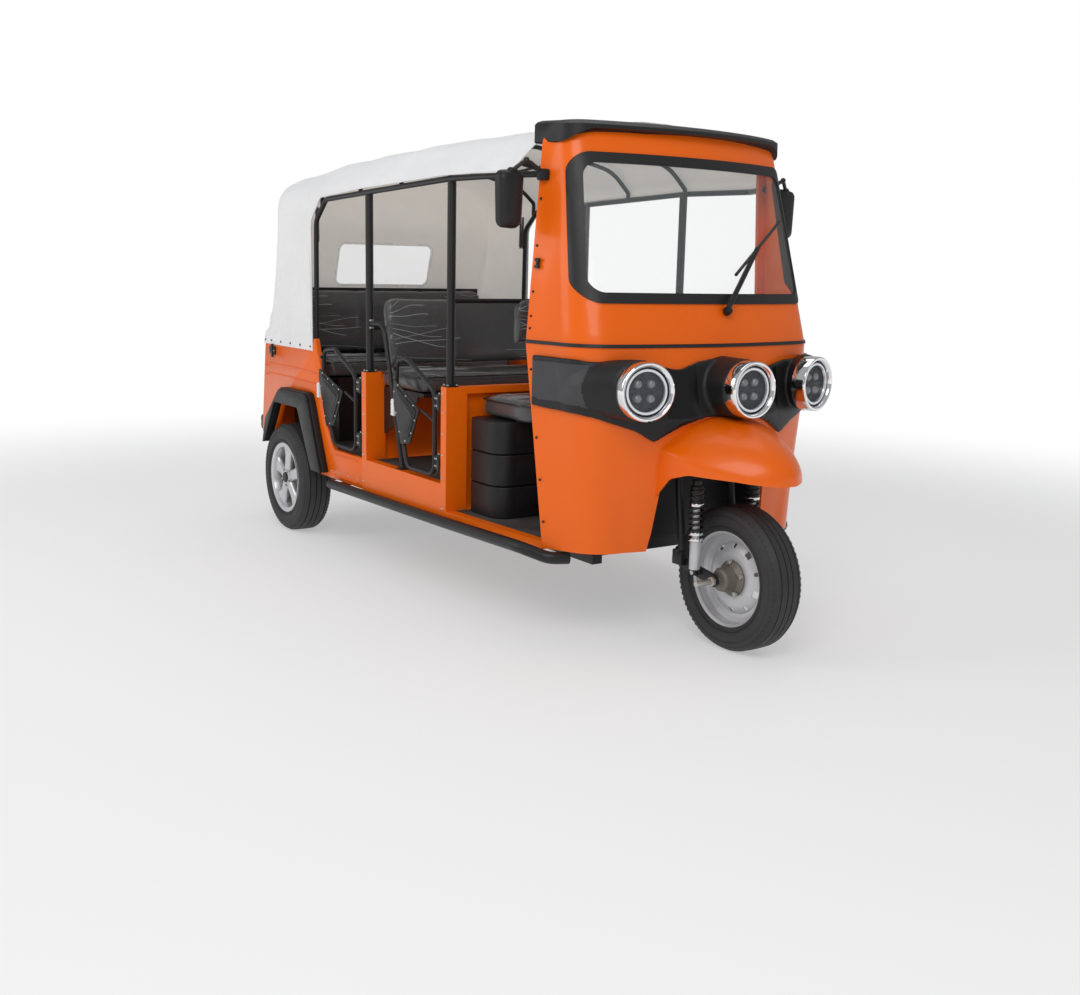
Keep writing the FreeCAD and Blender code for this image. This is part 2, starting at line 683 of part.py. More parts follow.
def make_cover():
    """White cloth cover over the roof, rear quarters and back, and its clear rear window."""
    left = box((0, 700), (-900, 1600), (600, 1900))
    shell = cover_solid(0).cut(cover_solid(COVER_WALL)).common(left)
    shell = shell.cut(box((-700, 700), (-900, 1600), (600, BODY_TOP_Z - 24)))
    shell = shell.cut(box((-700, 700), (-900, COVER_FRONT_Y), (600, 1900)))
    sides = prism("x", [(-900, 500), (876, 500), (876, 1440, 60), (772, 1537, 60), (355, 1560, 300),
                        (-317, 1578, 300), (-900, 1560)], -700, 700, CORNER_STEP)
    shell = shell.cut(sides)
    window = prism("y", [(-250, 1160, 30), (250, 1160, 30), (250, 1350, 30), (-250, 1350, 30)], 1100, 1600,
                   CORNER_STEP)
    pane = cover_solid(2).cut(cover_solid(COVER_WALL - 2)).common(window)
    shell = max(shell.cut(window).Solids, key=lambda solid: solid.Volume)
    return fused([shell, mirrored(shell)]), pane


def make_doors():
    """Tubes and panels of the two half doors on the right-hand side."""
    doors = []
    for index, loop in enumerate(DOOR_TUBES):
        face = DOOR_HINGE_FACES[index]
        points = [(-DOOR_X, y, z) for y, z, r in loop]
        tube = pipe(points, [r for y, z, r in loop], DOOR_TUBE_RADIUS, closed=True)
        (y0, z0), (y1, z1) = DOOR_BRACES[index]
        parts = [tube, rod((-DOOR_X, y0, z0), (-DOOR_X, y1, z1), 5)]
        pin_y = face + HINGE_STANDOFF
        tube_y = loop[0][0]
        for low, high in HINGE_SPANS:
            third = (high - low) / 3
            knuckle_low = low + third + 0.3
            knuckle_high = high - third - 0.3
            leaf = box((-HINGE_X - 1.5, -HINGE_X + 1.5), (pin_y + HINGE_PIN_RADIUS + 1, tube_y),
                       (knuckle_low, knuckle_high))
            parts.append(leaf)
            parts.append(rod((-HINGE_X, pin_y, knuckle_low), (-HINGE_X, pin_y, knuckle_high), HINGE_RADIUS))
        frame = fused(parts)
        for low, high in HINGE_SPANS:
            frame = frame.cut(bar((-HINGE_X, pin_y, low - 5), (-HINGE_X, pin_y, high + 5),
                                  HINGE_PIN_RADIUS + RUNNING_FIT))
        panel = prism("x", DOOR_PANELS[index], -DOOR_X - DOOR_TUBE_RADIUS - 7, -DOOR_X - DOOR_TUBE_RADIUS + 3)
        doors.append(fused([frame, panel]))
    return doors


def make_hinges():
    """Fixed leaves, knuckles and pins of the door hinges."""
    parts = []
    for face in DOOR_HINGE_FACES:
        pin_y = face + HINGE_STANDOFF
        for low, high in HINGE_SPANS:
            third = (high - low) / 3
            pieces = [bar((-HINGE_X, pin_y, low), (-HINGE_X, pin_y, high), HINGE_PIN_RADIUS)]
            for start, end in ((low, low + third), (high - third, high)):
                pieces.append(rod((-HINGE_X, pin_y, start), (-HINGE_X, pin_y, end), HINGE_RADIUS))
                pieces.append(box((-HINGE_X - 1.0, -HINGE_X + 3), (face, pin_y), (start, end)))
            hinge = fused(pieces)
            parts.append(hinge)
            parts.append(mirrored(hinge))
    return Part.Compound(parts)


def tyre(radius, width, rim_radius, centre):
    """Tyre with chamfered shoulders, turned about the wheel axis."""
    half = width / 2
    bead = half - BEAD_SETBACK
    wall = [(bead, rim_radius), (bead, rim_radius + RIM_FLANGE + 1), (half - 4, rim_radius + RIM_FLANGE + 14),
            (half, (rim_radius + radius) / 2 + 8), (half - 6, radius - 14), (half - 24, radius)]
    profile = wall + [(-x, r) for x, r in reversed(wall)]
    return turned(profile, WHEEL_SIDES, centre)


def rim_barrel(width, rim_radius):
    """Rim with flanges for a tyre of the given width, about an axle at the origin."""
    seat = width / 2 - BEAD_SETBACK + 0.3
    edge = seat + 6
    flange = rim_radius + RIM_FLANGE
    inner = rim_radius - RIM_WALL
    profile = [(-edge, flange), (-seat, flange), (-seat, rim_radius - 0.3), (seat, rim_radius - 0.3),
               (seat, flange), (edge, flange), (edge, inner), (24, inner - 14), (-24, inner - 14),
               (-edge, inner)]
    return turned(profile, WHEEL_SIDES)


def axle_cylinder(start, end, radius):
    """Cylinder about the wheel axis at the origin."""
    return bar((start, 0, 0), (end, 0, 0), radius)


def front_wheel():
    """Steel disc wheel with a ring of slots and its hub."""
    barrel = rim_barrel(FRONT_TYRE_WIDTH, RIM_SEAT_RADIUS)
    disc = turned([(-12, 44), (-22, 60), (-22, 84), (-6, 134), (2, 134), (-14, 84), (-14, 60), (-4, 44)],
                  WHEEL_SIDES)
    for index in range(DISC_SLOTS):
        slot = prism("x", [(-24, 96), (24, 96), (28, 122), (-28, 122)], -60, 60)
        slot.rotate(V(0, 0, 0), V(1, 0, 0), 360 * index / DISC_SLOTS)
        disc = disc.cut(slot)
    hub = rod((-72, 0, 0), (72, 0, 0), 24).fuse(rod((-30, 0, 0), (10, 0, 0), 48))
    wheel = fused([barrel, disc, hub]).cut(axle_cylinder(-90, 90, FRONT_AXLE_RADIUS + RUNNING_FIT))
    wheel.translate(V(0, FRONT_AXLE_Y, FRONT_TYRE_RADIUS))
    return wheel


def rear_wheel():
    """Five-spoke alloy wheel on the right-hand side, outer face towards -X."""
    barrel = rim_barrel(REAR_TYRE_WIDTH, RIM_SEAT_RADIUS)
    parts = [barrel, rod((-46, 0, 0), (10, 0, 0), 44), rod((-54, 0, 0), (-46, 0, 0), 26)]
    for index in range(5):
        spoke = prism("x", [(-30, 30), (30, 30), (17, 90), (24, 142), (-24, 142), (-17, 90)], -52, -30)
        spoke.rotate(V(0, 0, 0), V(1, 0, 0), 72 * index)
        parts.append(spoke)
    wheel = fused(parts).cut(axle_cylinder(-44, 20, REAR_AXLE_RADIUS + RUNNING_FIT))
    wheel.translate(V(-REAR_WHEEL_X, REAR_AXLE_Y, REAR_TYRE_RADIUS))
    return wheel


def make_fork():
    """Steering stem with crown and legs, arms with axle, dampers and springs."""
    crown_z = 596.0
    stem = bar(steering_point(crown_z - 14), steering_point(1076), STEM_RADIUS)
    centre_y = steering_point(crown_z)[1]
    crown = box((-150, 150), (centre_y - 26, centre_y + 40), (crown_z - 14, crown_z + 8))
    arms = [box((SHOCK_X - 16, SHOCK_X + 16), (-1262, centre_y), (crown_z - 14, crown_z - 2))]
    parts = [stem, crown] + arms + [mirrored(arms[0])]
    for side in (-1, 1):
        x = side * FORK_X
        parts.append(rod((x, -1128, crown_z - 4), (x, -1163, 322), 13))
        plate = prism("x", [(-1178, 336, 6), (-1146, 336, 6), (-1110, 300, 8), (-1110, 276, 8), (-1146, 272, 8)],
                      x - 5, x + 5)
        parts.append(plate)
    fork = fused(parts)

    links = []
    for side in (-1, 1):
        inner = 97.0
        outer = 111.0
        low, high = sorted((side * inner, side * outer))
        link = prism("x", [(-1110, 270, 12), (-1110, 302, 12), (-1318, 269, 14), (-1344, 247, 14),
                           (-1318, 226, 14)], low, high)
        links.append(link)
        links.append(rod((side * (inner - 18), FRONT_AXLE_Y, FRONT_TYRE_RADIUS),
                         (side * (inner + 40), FRONT_AXLE_Y, FRONT_TYRE_RADIUS), 16))
        links.append(rod((side * outer, -1242, 264), (side * (SHOCK_X + 14), -1242, 264), 8))
    links.append(bar((-190, FRONT_AXLE_Y, FRONT_TYRE_RADIUS), (190, FRONT_AXLE_Y, FRONT_TYRE_RADIUS),
                     FRONT_AXLE_RADIUS))
    arms = fused(links).cut(fork)

    dampers = []
    for side in (-1, 1):
        x = side * SHOCK_X
        low = V(x, -1242, 264)
        high = V(x, -1236, crown_z - 14)
        axis = (high - low).normalize()
        pieces = [rod(low - V(13, 0, 0), low + V(13, 0, 0), 17),
                  rod(low + axis * 14, low + axis * 134, 20),
                  rod(low + axis * 134, low + axis * 302, 26),
                  rod(low + axis * 302, high, 9)]
        dampers.append(fused(pieces).cut(fork).cut(arms))
    return fork, arms, Part.Compound(dampers)


def make_handlebar():
    """Handlebar with grips."""
    x, y, z = steering_point(1076)
    clamp = rod(steering_point(1058), steering_point(1092), 22)
    points = [(-262, y + 76, z + 4), (-130, y + 50, z + 4), (-60, y + 4, z + 4), (60, y + 4, z + 4),
              (130, y + 50, z + 4), (262, y + 76, z + 4)]
    tube = pipe(points, [0, 60, 50, 50, 60, 0], 11)
    handlebar = fused([clamp, tube])
    return handlebar.cut(bar(steering_point(500), steering_point(1076), STEM_RADIUS))


def make_rear_axle():
    """Axle tube with gear case, drums and stub shafts, and the drive motor as one block."""
    centre = (REAR_AXLE_Y, REAR_TYRE_RADIUS)
    parts = [rod((-430, *centre), (430, *centre), 32), rod((-90, *centre), (60, *centre), 85)]
    for side in (-1, 1):
        parts.append(rod((side * 425, *centre), (side * 478, *centre), 90))
        parts.append(bar((side * 478, *centre), (side * (REAR_WHEEL_X + 43), *centre), REAR_AXLE_RADIUS))
    motor = rod((62, REAR_AXLE_Y - 30, REAR_TYRE_RADIUS), (260, REAR_AXLE_Y - 30, REAR_TYRE_RADIUS), 82)
    axle = fused(parts)
    return axle, motor.cut(axle)


# Leaf springs: steps from the middle to the end of each leaf, top leaf first
LEAF_STATIONS = [7, 5, 3]
LEAF_STEP = 40.0
LEAF_THICKNESS = 9.0
LEAF_SAG = 66.0


def make_springs():
    """Leaf springs with their hangers and axle seats."""
    parts = []
    middle = REAR_AXLE_Y
    for leaf, stations in enumerate(LEAF_STATIONS):
        upper = [V(375, middle + LEAF_STEP * k, 300 - LEAF_THICKNESS * leaf + LEAF_SAG * (k / LEAF_STATIONS[0]) ** 2)
                 for k in range(-stations, stations + 1)]
        lower = [point - V(0, 0, LEAF_THICKNESS) for point in reversed(upper)]
        parts.append(skinned([upper + lower, [point + V(50, 0, 0) for point in upper + lower]]))
    for end in (-1, 1):
        y = middle + end * 280
        parts.append(rod((375, y, 362), (425, y, 362), 14))
        parts.append(box((375, 425), (y - 16, y + 16), (362, 385)))
    pack = fused(parts)
    seat = box((375, 425), (middle - 40, middle + 40), (300, 312))
    pack = fused([pack, seat])
    axle_space = rod((300, REAR_AXLE_Y, REAR_TYRE_RADIUS), (500, REAR_AXLE_Y, REAR_TYRE_RADIUS), 32)
    drum_space = rod((425, REAR_AXLE_Y, REAR_TYRE_RADIUS), (500, REAR_AXLE_Y, REAR_TYRE_RADIUS), 90)
    return both(pack.cut(axle_space).cut(drum_space))


# Side step tube, right-hand side
STEP_RADIUS = 21.0
STEP_ROUTE = [(-600, 640, 303), (-600, -377, 319), (-600, -880, 331), (-545, -990, 306)]
# Brackets under the sills: y and the height of the sill there
STEP_BRACKETS = [(560, SILL_BOTTOM_Z), (40, SILL_BOTTOM_Z), (-420, SILL_BOTTOM_Z + 5)]


def make_steps():
    """Tubular side steps with brackets under the sills."""
    tube = pipe(STEP_ROUTE, [0, 0, 90, 0], STEP_RADIUS)
    brackets = []
    for y, top in STEP_BRACKETS:
        brackets.append(box((-602, -536), (y - 18, y + 18), (top - 13, top)))
    step = fused([tube] + brackets)
    return both(step)


def make_grab_rail():
    """Bent handrail from post B down to the middle sill, right-hand side."""
    points = [(-POST_X, POST_B_Y, 1016), (-POST_X, 228, 1022), (-POST_X, 64, REAR_FLOOR_Z)]
    rail = pipe(points, [0, 60, 0], DOOR_TUBE_RADIUS)
    rail = rail.cut(box((-700, 700), (0, 400), (300, REAR_FLOOR_Z)))
    return rail


def make_seats(frame):
    """Cushions, backrests and what carries them."""
    back_y = POST_B_Y - PANEL / 2
    nodes = {}
    nodes["driver_cushion"] = prism("z", [(-440, -660, 60), (440, -660, 60), (440, -342, 30), (-440, -342, 30)],
                                    706.3, 788)
    nodes["driver_backrest"] = prism("y", [(-300, 965, 50), (300, 965, 50), (300, 1150, 60), (-300, 1150, 60)],
                                     -372, POST_A_Y - BAR_RADIUS - 0.3)
    nodes["middle_cushion"] = prism("x", [(-30, 758, 30), (back_y - 1, 758, 10), (back_y - 1, 832, 10),
                                          (-30, 838, 30)], -525, 525)
    nodes["middle_backrest"] = prism("x", [(262, 833.8, 20), (314.2, 833.0, 10), (370, 1130, 25), (304, 1134, 25)],
                                     -505, 505)
    pan = box((-490, 490), (-10, back_y), (742, 758))
    gusset = prism("x", [(back_y, 742), (back_y, 560), (back_y - 16, 560), (40, 726), (40, 742)], 486, 490)
    nodes["middle_seat_pan"] = fused([pan, gusset, mirrored(gusset)])
    base = box((-446, 446), (880, 1400), (REAR_FLOOR_Z - MAT, 744))
    base = base.cut(box((-440, 440), (886, 1394), (REAR_FLOOR_Z - MAT - 1, 738)))
    shelf = box((-549, 549), (880, 1400), (738, 744))
    board = box((-535, 535), (1290.3, 1297), (744, 1142))
    nodes["rear_seat_base"] = fused([base, shelf, board])
    nodes["rear_cushion"] = prism("x", [(862, 744.3, 25), (1290, 744.3, 10), (1290, 820, 10), (862, 830, 30)],
                                  -520, 520)
    nodes["rear_backrest"] = prism("x", [(1218, 822.4, 15), (1290, 820.5, 10), (1290, 1140, 20), (1262, 1146, 10)],
                                   -535, 535)
    outer = prism("z", [(-490, -570, 70), (490, -570, 70), (490, -338), (-490, -338)], FRONT_FLOOR_Z, 706)
    for z in (470, 588):
        groove = prism("z", [(-490, -570, 70), (490, -570, 70), (490, -338), (-490, -338)], z, z + 6)
        core = prism("z", [(-486, -566, 66), (486, -566, 66), (486, -300), (-486, -300)], z - 1, z + 7)
        outer = outer.cut(groove.cut(core))
    nodes["battery_box"] = outer.cut(frame)
    return nodes


def make_mirrors():
    """Mirror arms and housings, right-hand side."""
    arm = pipe([(-500, -848, 1556), (-575, -848, 1600), (-618, -822, 1560)], [0, 25, 0], 8)
    foot = box((-522, -500), (-880, -830), (1535, 1585))
    housing = prism("y", [(-665, 1380, 30), (-572, 1380, 30), (-566, 1574, 30), (-665, 1574, 30)], -840, -800)
    mirror = fused([arm, foot, housing])
    return both(mirror.cut(cab_block(UPPER_LEVELS)))


def make_small_parts(body):
    """Rear bumper, tail lamps, pedal and wiper."""
    nodes = {}
    bumper = prism("x", [(1486, 436), (REAR_END_Y, 436, 8), (REAR_END_Y, 508, 12), (1486, 508)], -560, 560)
    nodes["rear_bumper"] = bumper.cut(body)
    lamp = prism("x", [(1478, 560), (1500, 560, 6), (1474, 760, 6), (1450, 760)], -540, -470)
    nodes["tail_lamps"] = both(lamp.cut(body))
    nodes["brake_pedal"] = fused([box((-300, -250), (-880, -860), (420, 500)),
                                  box((-282, -268), (-862, -850), (FRONT_FLOOR_Z, 470))])
    pivot = rod((34, -1120, 1128), (34, -1178, 1134), 13).cut(cab_loft(UPPER_LEVELS, 0, 200))
    arm = pipe([(34, -1170, 1130), (40, -1176, 1152), (240, -1084, 1342)], [0, 10, 0], 6)
    blade = rod((97, -1130, 1248), (382, -1034, 1436), 5)
    outside = fused([arm, blade]).cut(cab_loft(UPPER_LEVELS, RUBBER_PROUD + 0.3, 200))
    nodes["windscreen_wiper"] = fused([pivot, outside])
    return nodes


nose, surround, rubber, glass, strip = make_cab()
visor = make_visor()
mask, bezels, lenses = make_lamps(nose)
chassis = make_chassis()
sills = Part.Compound([sill.cut(nose) for sill in make_sills().Solids])
bulkhead_front = make_bulkhead(POST_A_Y, FRONT_FLOOR_Z).cut(chassis)
bulkhead_rear = make_bulkhead(POST_B_Y, REAR_FLOOR_Z).cut(chassis)
wheelhouse = make_wheelhouse()
mudguard = make_mudguard([mask] + cab_block(LOWER_LEVELS))
rear_body = make_rear_body()
fork, link_arms, dampers = make_fork()
posts = make_posts()
roof_frame = make_roof_frame([surround, rear_body])
posts = [post.cut(roof_frame) for post in posts]
axle, motor = make_rear_axle()
doors = make_doors()
mirrors = make_mirrors().cut(roof_frame)
structure = chassis.fuse([nose, bulkhead_front, bulkhead_rear])
floor, mats = make_floor(structure)
chassis = chassis.cut(nose).cut(wheelhouse)
cover, rear_window = make_cover()
cover = cover.cut(roof_frame).cut(rear_body)

save("nose_panel", nose)
save("windscreen_surround", surround)
save("cab_rubbers", Part.Compound([rubber, strip]))
save("windscreen_glass", glass)
save("roof_visor", visor)
save("lamp_mask", mask)
save("headlamp_bezels", bezels)
save("headlamp_lenses", lenses)
save("front_mudguard", mudguard)
save("wheelhouse_liner", wheelhouse)
save("dashboard", make_dashboard())
save("chassis_frame", chassis)
save("floor_panel", floor)
save("floor_mats", mats)
save("side_sills", sills)
save("front_bulkhead", bulkhead_front)
save("rear_bulkhead", bulkhead_rear)
save("rear_body", rear_body)
save("wheel_flares", make_flares())
save("side_posts", Part.Compound(posts))
save("roof_frame", roof_frame)
save("cloth_cover", cover)
save("rear_window", rear_window)
save("door_hinges", make_hinges())
save("side_steps", make_steps())
save("rear_axle", axle)
save("drive_motor", motor)
save("leaf_springs", make_springs())
save("side_mirrors", mirrors)
save("steering_fork", fork)
save("link_arms", link_arms)
save("front_shocks", dampers)
save("handlebar", make_handlebar())
for name, shape in make_seats(chassis).items():
    save(name, shape)
for name, shape in make_small_parts(rear_body).items():
    save(name, shape)
for position, door in zip(("middle", "rear"), doors):
    save(position + "_door_right", door)
    save(position + "_door_left", mirrored(door))
save("front_tyre", tyre(FRONT_TYRE_RADIUS, FRONT_TYRE_WIDTH, RIM_SEAT_RADIUS,
                        (0, FRONT_AXLE_Y, FRONT_TYRE_RADIUS)))
save("front_wheel_rim", front_wheel())
rear_tyre = tyre(REAR_TYRE_RADIUS, REAR_TYRE_WIDTH, RIM_SEAT_RADIUS,
                 (-REAR_WHEEL_X, REAR_AXLE_Y, REAR_TYRE_RADIUS))
rear_rim = rear_wheel()
save("rear_right_tyre", rear_tyre)
save("rear_right_rim", rear_rim)
save("rear_left_tyre", mirrored(rear_tyre))
save("rear_left_rim", mirrored(rear_rim))
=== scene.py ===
"""Looks of a three-row electric auto rickshaw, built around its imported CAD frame.

Tables are in millimetres in the CAD frame: X to the vehicle's left, front towards -Y, Z up.
"""

import json
import logging
import math
from dataclasses import dataclass
from enum import Enum
from typing import Iterable, Sequence

import bmesh
import bpy
from mathutils import Matrix, Vector
from mathutils.bvhtree import BVHTree

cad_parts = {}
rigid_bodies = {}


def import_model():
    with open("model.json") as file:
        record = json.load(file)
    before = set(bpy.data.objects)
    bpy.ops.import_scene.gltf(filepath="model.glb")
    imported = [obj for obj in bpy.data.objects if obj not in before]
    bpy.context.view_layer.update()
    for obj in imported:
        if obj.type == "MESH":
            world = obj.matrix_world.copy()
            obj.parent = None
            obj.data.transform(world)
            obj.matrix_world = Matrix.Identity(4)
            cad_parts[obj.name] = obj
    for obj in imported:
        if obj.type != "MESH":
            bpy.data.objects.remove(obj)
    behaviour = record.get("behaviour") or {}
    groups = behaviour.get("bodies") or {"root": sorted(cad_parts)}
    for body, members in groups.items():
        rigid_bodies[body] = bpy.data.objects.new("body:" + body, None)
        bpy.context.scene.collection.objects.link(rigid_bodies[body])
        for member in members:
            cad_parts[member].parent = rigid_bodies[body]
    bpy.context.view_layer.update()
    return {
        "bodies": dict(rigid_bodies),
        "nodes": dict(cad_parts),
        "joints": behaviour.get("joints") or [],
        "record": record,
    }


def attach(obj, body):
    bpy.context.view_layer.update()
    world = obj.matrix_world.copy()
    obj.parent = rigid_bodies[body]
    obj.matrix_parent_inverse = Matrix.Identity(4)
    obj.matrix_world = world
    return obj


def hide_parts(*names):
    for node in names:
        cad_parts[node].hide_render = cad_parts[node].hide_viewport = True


LOG = logging.getLogger("rickshaw")
MM = 0.001
WHITE = (1.0, 1.0, 1.0, 1.0)
ACROSS = (1.0, 0.0, 0.0)
Point = tuple[float, float, float]


class Body(str, Enum):
    """CAD bodies that pieces ride on."""

    VEHICLE = "vehicle"
    STEERING = "steering"
    FRONT_WHEEL = "front_wheel"
    REAR_RIGHT = "rear_wheel_right"
    REAR_LEFT = "rear_wheel_left"
    MIDDLE_DOOR_RIGHT = "door_middle_right"
    MIDDLE_DOOR_LEFT = "door_middle_left"
    REAR_DOOR_RIGHT = "door_rear_right"
    REAR_DOOR_LEFT = "door_rear_left"


class Pattern(str, Enum):
    """Relief patterns of a finish."""

    PEEL = "peel"
    GRAIN = "grain"
    WEAVE = "weave"
    CREASE = "crease"
    BRUSHED = "brushed"
    SPECKLE = "speckle"


def node(tree: bpy.types.NodeTree, kind: str, **values: object) -> bpy.types.Node:
    """Adds a shader node.

    Args:
        tree: Node tree that it joins.
        kind: Type of the node.
        values: A number or a socket for each input, with _ for a space in its name.

    Returns:
        The new node.
    """
    made = tree.nodes.new(kind)
    for name, value in values.items():
        entry = made.inputs[name.replace("_", " ")]
        if isinstance(value, bpy.types.NodeSocket):
            tree.links.new(value, entry)
        else:
            entry.default_value = value
    return made


def blend(tree: bpy.types.NodeTree, share: bpy.types.NodeSocket, first: bpy.types.NodeSocket,
          second: bpy.types.NodeSocket, output: str) -> None:
    """Joins two shaders to a tree's output.

    Args:
        tree: Node tree.
        share: Socket with the share of the second shader.
        first: First shader.
        second: Second shader.
        output: Name of the output node.
    """
    mix = node(tree, "ShaderNodeMixShader", Fac=share)
    tree.links.new(first, mix.inputs[1])
    tree.links.new(second, mix.inputs[2])
    tree.links.new(mix.outputs["Shader"], tree.nodes[output].inputs["Surface"])


@dataclass(frozen=True)
class Finish:
    """One surface finish, made as a procedural material.

    Attributes:
        name: Material name.
        colour: Linear base colour.
        rough: Mean roughness.
        slot: Record slot the finish belongs to; not used.
        pattern: Relief pattern.
        scale: Pattern repeats per metre.
        depth: Relief strength, from 0 to 1.
        vary: Share by which the colour changes over the surface.
        metal: Metallic share.
        coat: Clear coat weight.
        clear: Transmission weight.
        alpha: Opacity.
        sheen: Sheen weight.
        glow: Emission strength.
        gloss: Specular level.
    """

    name: str
    colour: tuple[float, float, float]
    rough: float
    slot: str
    pattern: Pattern = Pattern.PEEL
    scale: float = 60.0
    depth: float = 0.1
    vary: float = 0.06
    metal: float = 0.0
    coat: float = 0.0
    clear: float = 0.0
    alpha: float = 1.0
    sheen: float = 0.0
    glow: float = 0.0
    gloss: float = 0.5

    def material(self) -> bpy.types.Material:
        """Makes the node material, once.

        Returns:
            The material.
        """
        found = bpy.data.materials.get(self.name)
        if found:
            return found
        material = bpy.data.materials.new(self.name)
        material.use_nodes = True
        tree = material.node_tree
        shader = tree.nodes["Principled BSDF"]
        for name, value in (("Metallic", self.metal), ("Coat Weight", self.coat), ("Coat Roughness", 0.05),
                            ("Specular IOR Level", self.gloss), ("Transmission Weight", self.clear),
                            ("Alpha", self.alpha), ("Sheen Weight", self.sheen),
                            ("Emission Strength", self.glow), ("Emission Color", WHITE)):
            shader.inputs[name].default_value = value
        spot = node(tree, "ShaderNodeTexCoord").outputs["Object"]
        cloud = node(tree, "ShaderNodeTexNoise", Vector=spot, Scale=4.0, Detail=6.0, Roughness=0.62)
        ramp = node(tree, "ShaderNodeValToRGB", Fac=cloud.outputs["Fac"])
        for index, share in ((0, 1 - self.vary), (1, 1 + self.vary)):
            element = ramp.color_ramp.elements[index]
            element.position = 0.3 + 0.4 * index
            element.color = (*(min(1.0, part * share) for part in self.colour), 1.0)
        tree.links.new(ramp.outputs["Color"], shader.inputs["Base Color"])
        fine = node(tree, "ShaderNodeTexNoise", Vector=spot, Scale=22.0, Detail=5.0)
        spread = node(tree, "ShaderNodeMapRange", Value=fine.outputs["Fac"], To_Min=max(0.01, self.rough * 0.8),
                      To_Max=min(1.0, self.rough * 1.2))
        tree.links.new(spread.outputs["Result"], shader.inputs["Roughness"])
        bump = node(tree, "ShaderNodeBump", Height=self._height(tree, spot), Strength=self.depth,
                    Distance=0.001)
        tree.links.new(bump.outputs["Normal"], shader.inputs["Normal"])
        return material

    def _height(self, tree: bpy.types.NodeTree, spot: bpy.types.NodeSocket) -> bpy.types.NodeSocket:
        """Adds the nodes of the relief pattern.

        Args:
            tree: Node tree of the material.
            spot: Socket with the place on the piece.

        Returns:
            The socket with the height.
        """
        if self.pattern in (Pattern.GRAIN, Pattern.SPECKLE):
            cells = node(tree, "ShaderNodeTexVoronoi", Vector=spot, Scale=self.scale)
            cells.feature = "SMOOTH_F1" if self.pattern is Pattern.GRAIN else "F1"
            return cells.outputs["Distance"]
        if self.pattern is Pattern.WEAVE:
            both = node(tree, "ShaderNodeMath")
            both.operation = "MAXIMUM"
            for index, direction in enumerate(("X", "Z")):
                wave = node(tree, "ShaderNodeTexWave", Vector=spot, Scale=self.scale, Distortion=0.4)
                wave.bands_direction = direction
                tree.links.new(wave.outputs["Fac"], both.inputs[index])
            return both.outputs["Value"]
        if self.pattern is Pattern.BRUSHED:
            spot = node(tree, "ShaderNodeMapping", Vector=spot, Scale=(20.0, 1.0, 1.0)).outputs["Vector"]
        noise = node(tree, "ShaderNodeTexNoise", Vector=spot, Scale=self.scale, Detail=3.0)
        if self.pattern is Pattern.CREASE:
            noise.noise_type = "RIDGED_MULTIFRACTAL"
            noise.inputs["Distortion"].default_value = 1.2
        return noise.outputs["Fac"]


PAINT = Finish("orange_gloss", (0.83, 0.128, 0.001), 0.32, "orange_paint", Pattern.PEEL, 240.0, 0.03, 0.02,
               coat=0.12, gloss=0.3)
PANEL = Finish("orange_panel", (0.85, 0.140, 0.001), 0.38, "orange_paint", Pattern.PEEL, 180.0, 0.06, 0.03,
               coat=0.1, gloss=0.3)
SATIN = Finish("black_satin", (0.011, 0.011, 0.012), 0.36, "black_frame", Pattern.SPECKLE, 900.0, 0.25, 0.2,
               gloss=0.38)
MOULDED = Finish("black_moulded", (0.012, 0.012, 0.013), 0.42, "black_plastic", Pattern.GRAIN, 700.0, 0.3,
                 0.12, gloss=0.32)
GLOSSY = Finish("black_gloss", (0.006, 0.006, 0.007), 0.22, "black_plastic", Pattern.PEEL, 120.0, 0.04,
                gloss=0.3)
GREY_PLASTIC = Finish("grey_moulded", (0.034, 0.034, 0.037), 0.48, "black_plastic", Pattern.GRAIN, 800.0, 0.3)
VINYL = Finish("black_vinyl_grain", (0.008, 0.008, 0.009), 0.32, "black_vinyl", Pattern.GRAIN, 420.0, 0.04,
               0.08, coat=0.25)
WRAP = Finish("clear_wrap", (0.86, 0.88, 0.90), 0.12, "clear_film", Pattern.CREASE, 6.5, 1.0, 0.02, coat=1.0,
              alpha=0.07)
# Pale half-clear lines laid along the folds of the wrap: painted highlight of the creased film.
CREASE_HIGHLIGHT = Finish("wrap_crease_painted_highlight", (0.72, 0.74, 0.77), 0.2, "clear_film", Pattern.PEEL, 40.0, 0.1, alpha=0.5)
CANVAS = Finish("white_canvas_weave", (0.80, 0.80, 0.805), 0.55, "white_canvas", Pattern.WEAVE, 420.0, 0.25,
                0.035, sheen=0.25)
# Inner face of the cover: cream cloth given a faint white glow, which is painted light.
GLOWING_LINING = Finish("cream_lining_painted_glow", (0.72, 0.68, 0.60), 0.7, "white_canvas", Pattern.WEAVE, 380.0, 0.3, 0.05,
                glow=0.20)
FILM = Finish("window_film", (0.92, 0.95, 0.96), 0.08, "clear_film", Pattern.CREASE, 6.0, 0.5, 0.02,
              clear=0.2, alpha=0.22)
GLASS = Finish("windscreen_clear", (0.50, 0.56, 0.57), 0.02, "windscreen_glass", Pattern.PEEL, 3.0, 0.01,
               0.02, coat=0.3, alpha=0.08)
LENS = Finish("lamp_clear", (0.60, 0.66, 0.70), 0.02, "lamp_lens", Pattern.PEEL, 20.0, 0.02, 0.01, coat=0.6,
              alpha=0.05)
LENS_CORE = Finish("led_lens", (0.16, 0.17, 0.19), 0.04, "lamp_lens", Pattern.PEEL, 60.0, 0.05, 0.03,
                   metal=0.2, coat=1.0)
RUBBER = Finish("seal_rubber", (0.007, 0.007, 0.008), 0.5, "rubber", Pattern.PEEL, 300.0, 0.2)
TYRE = Finish("tyre_black", (0.026, 0.026, 0.028), 0.62, "tyre_rubber", Pattern.SPECKLE, 600.0, 0.3, 0.25)
CHROME = Finish("chrome_polished", (0.80, 0.80, 0.81), 0.05, "chrome", Pattern.PEEL, 30.0, 0.02, 0.02, 1.0)
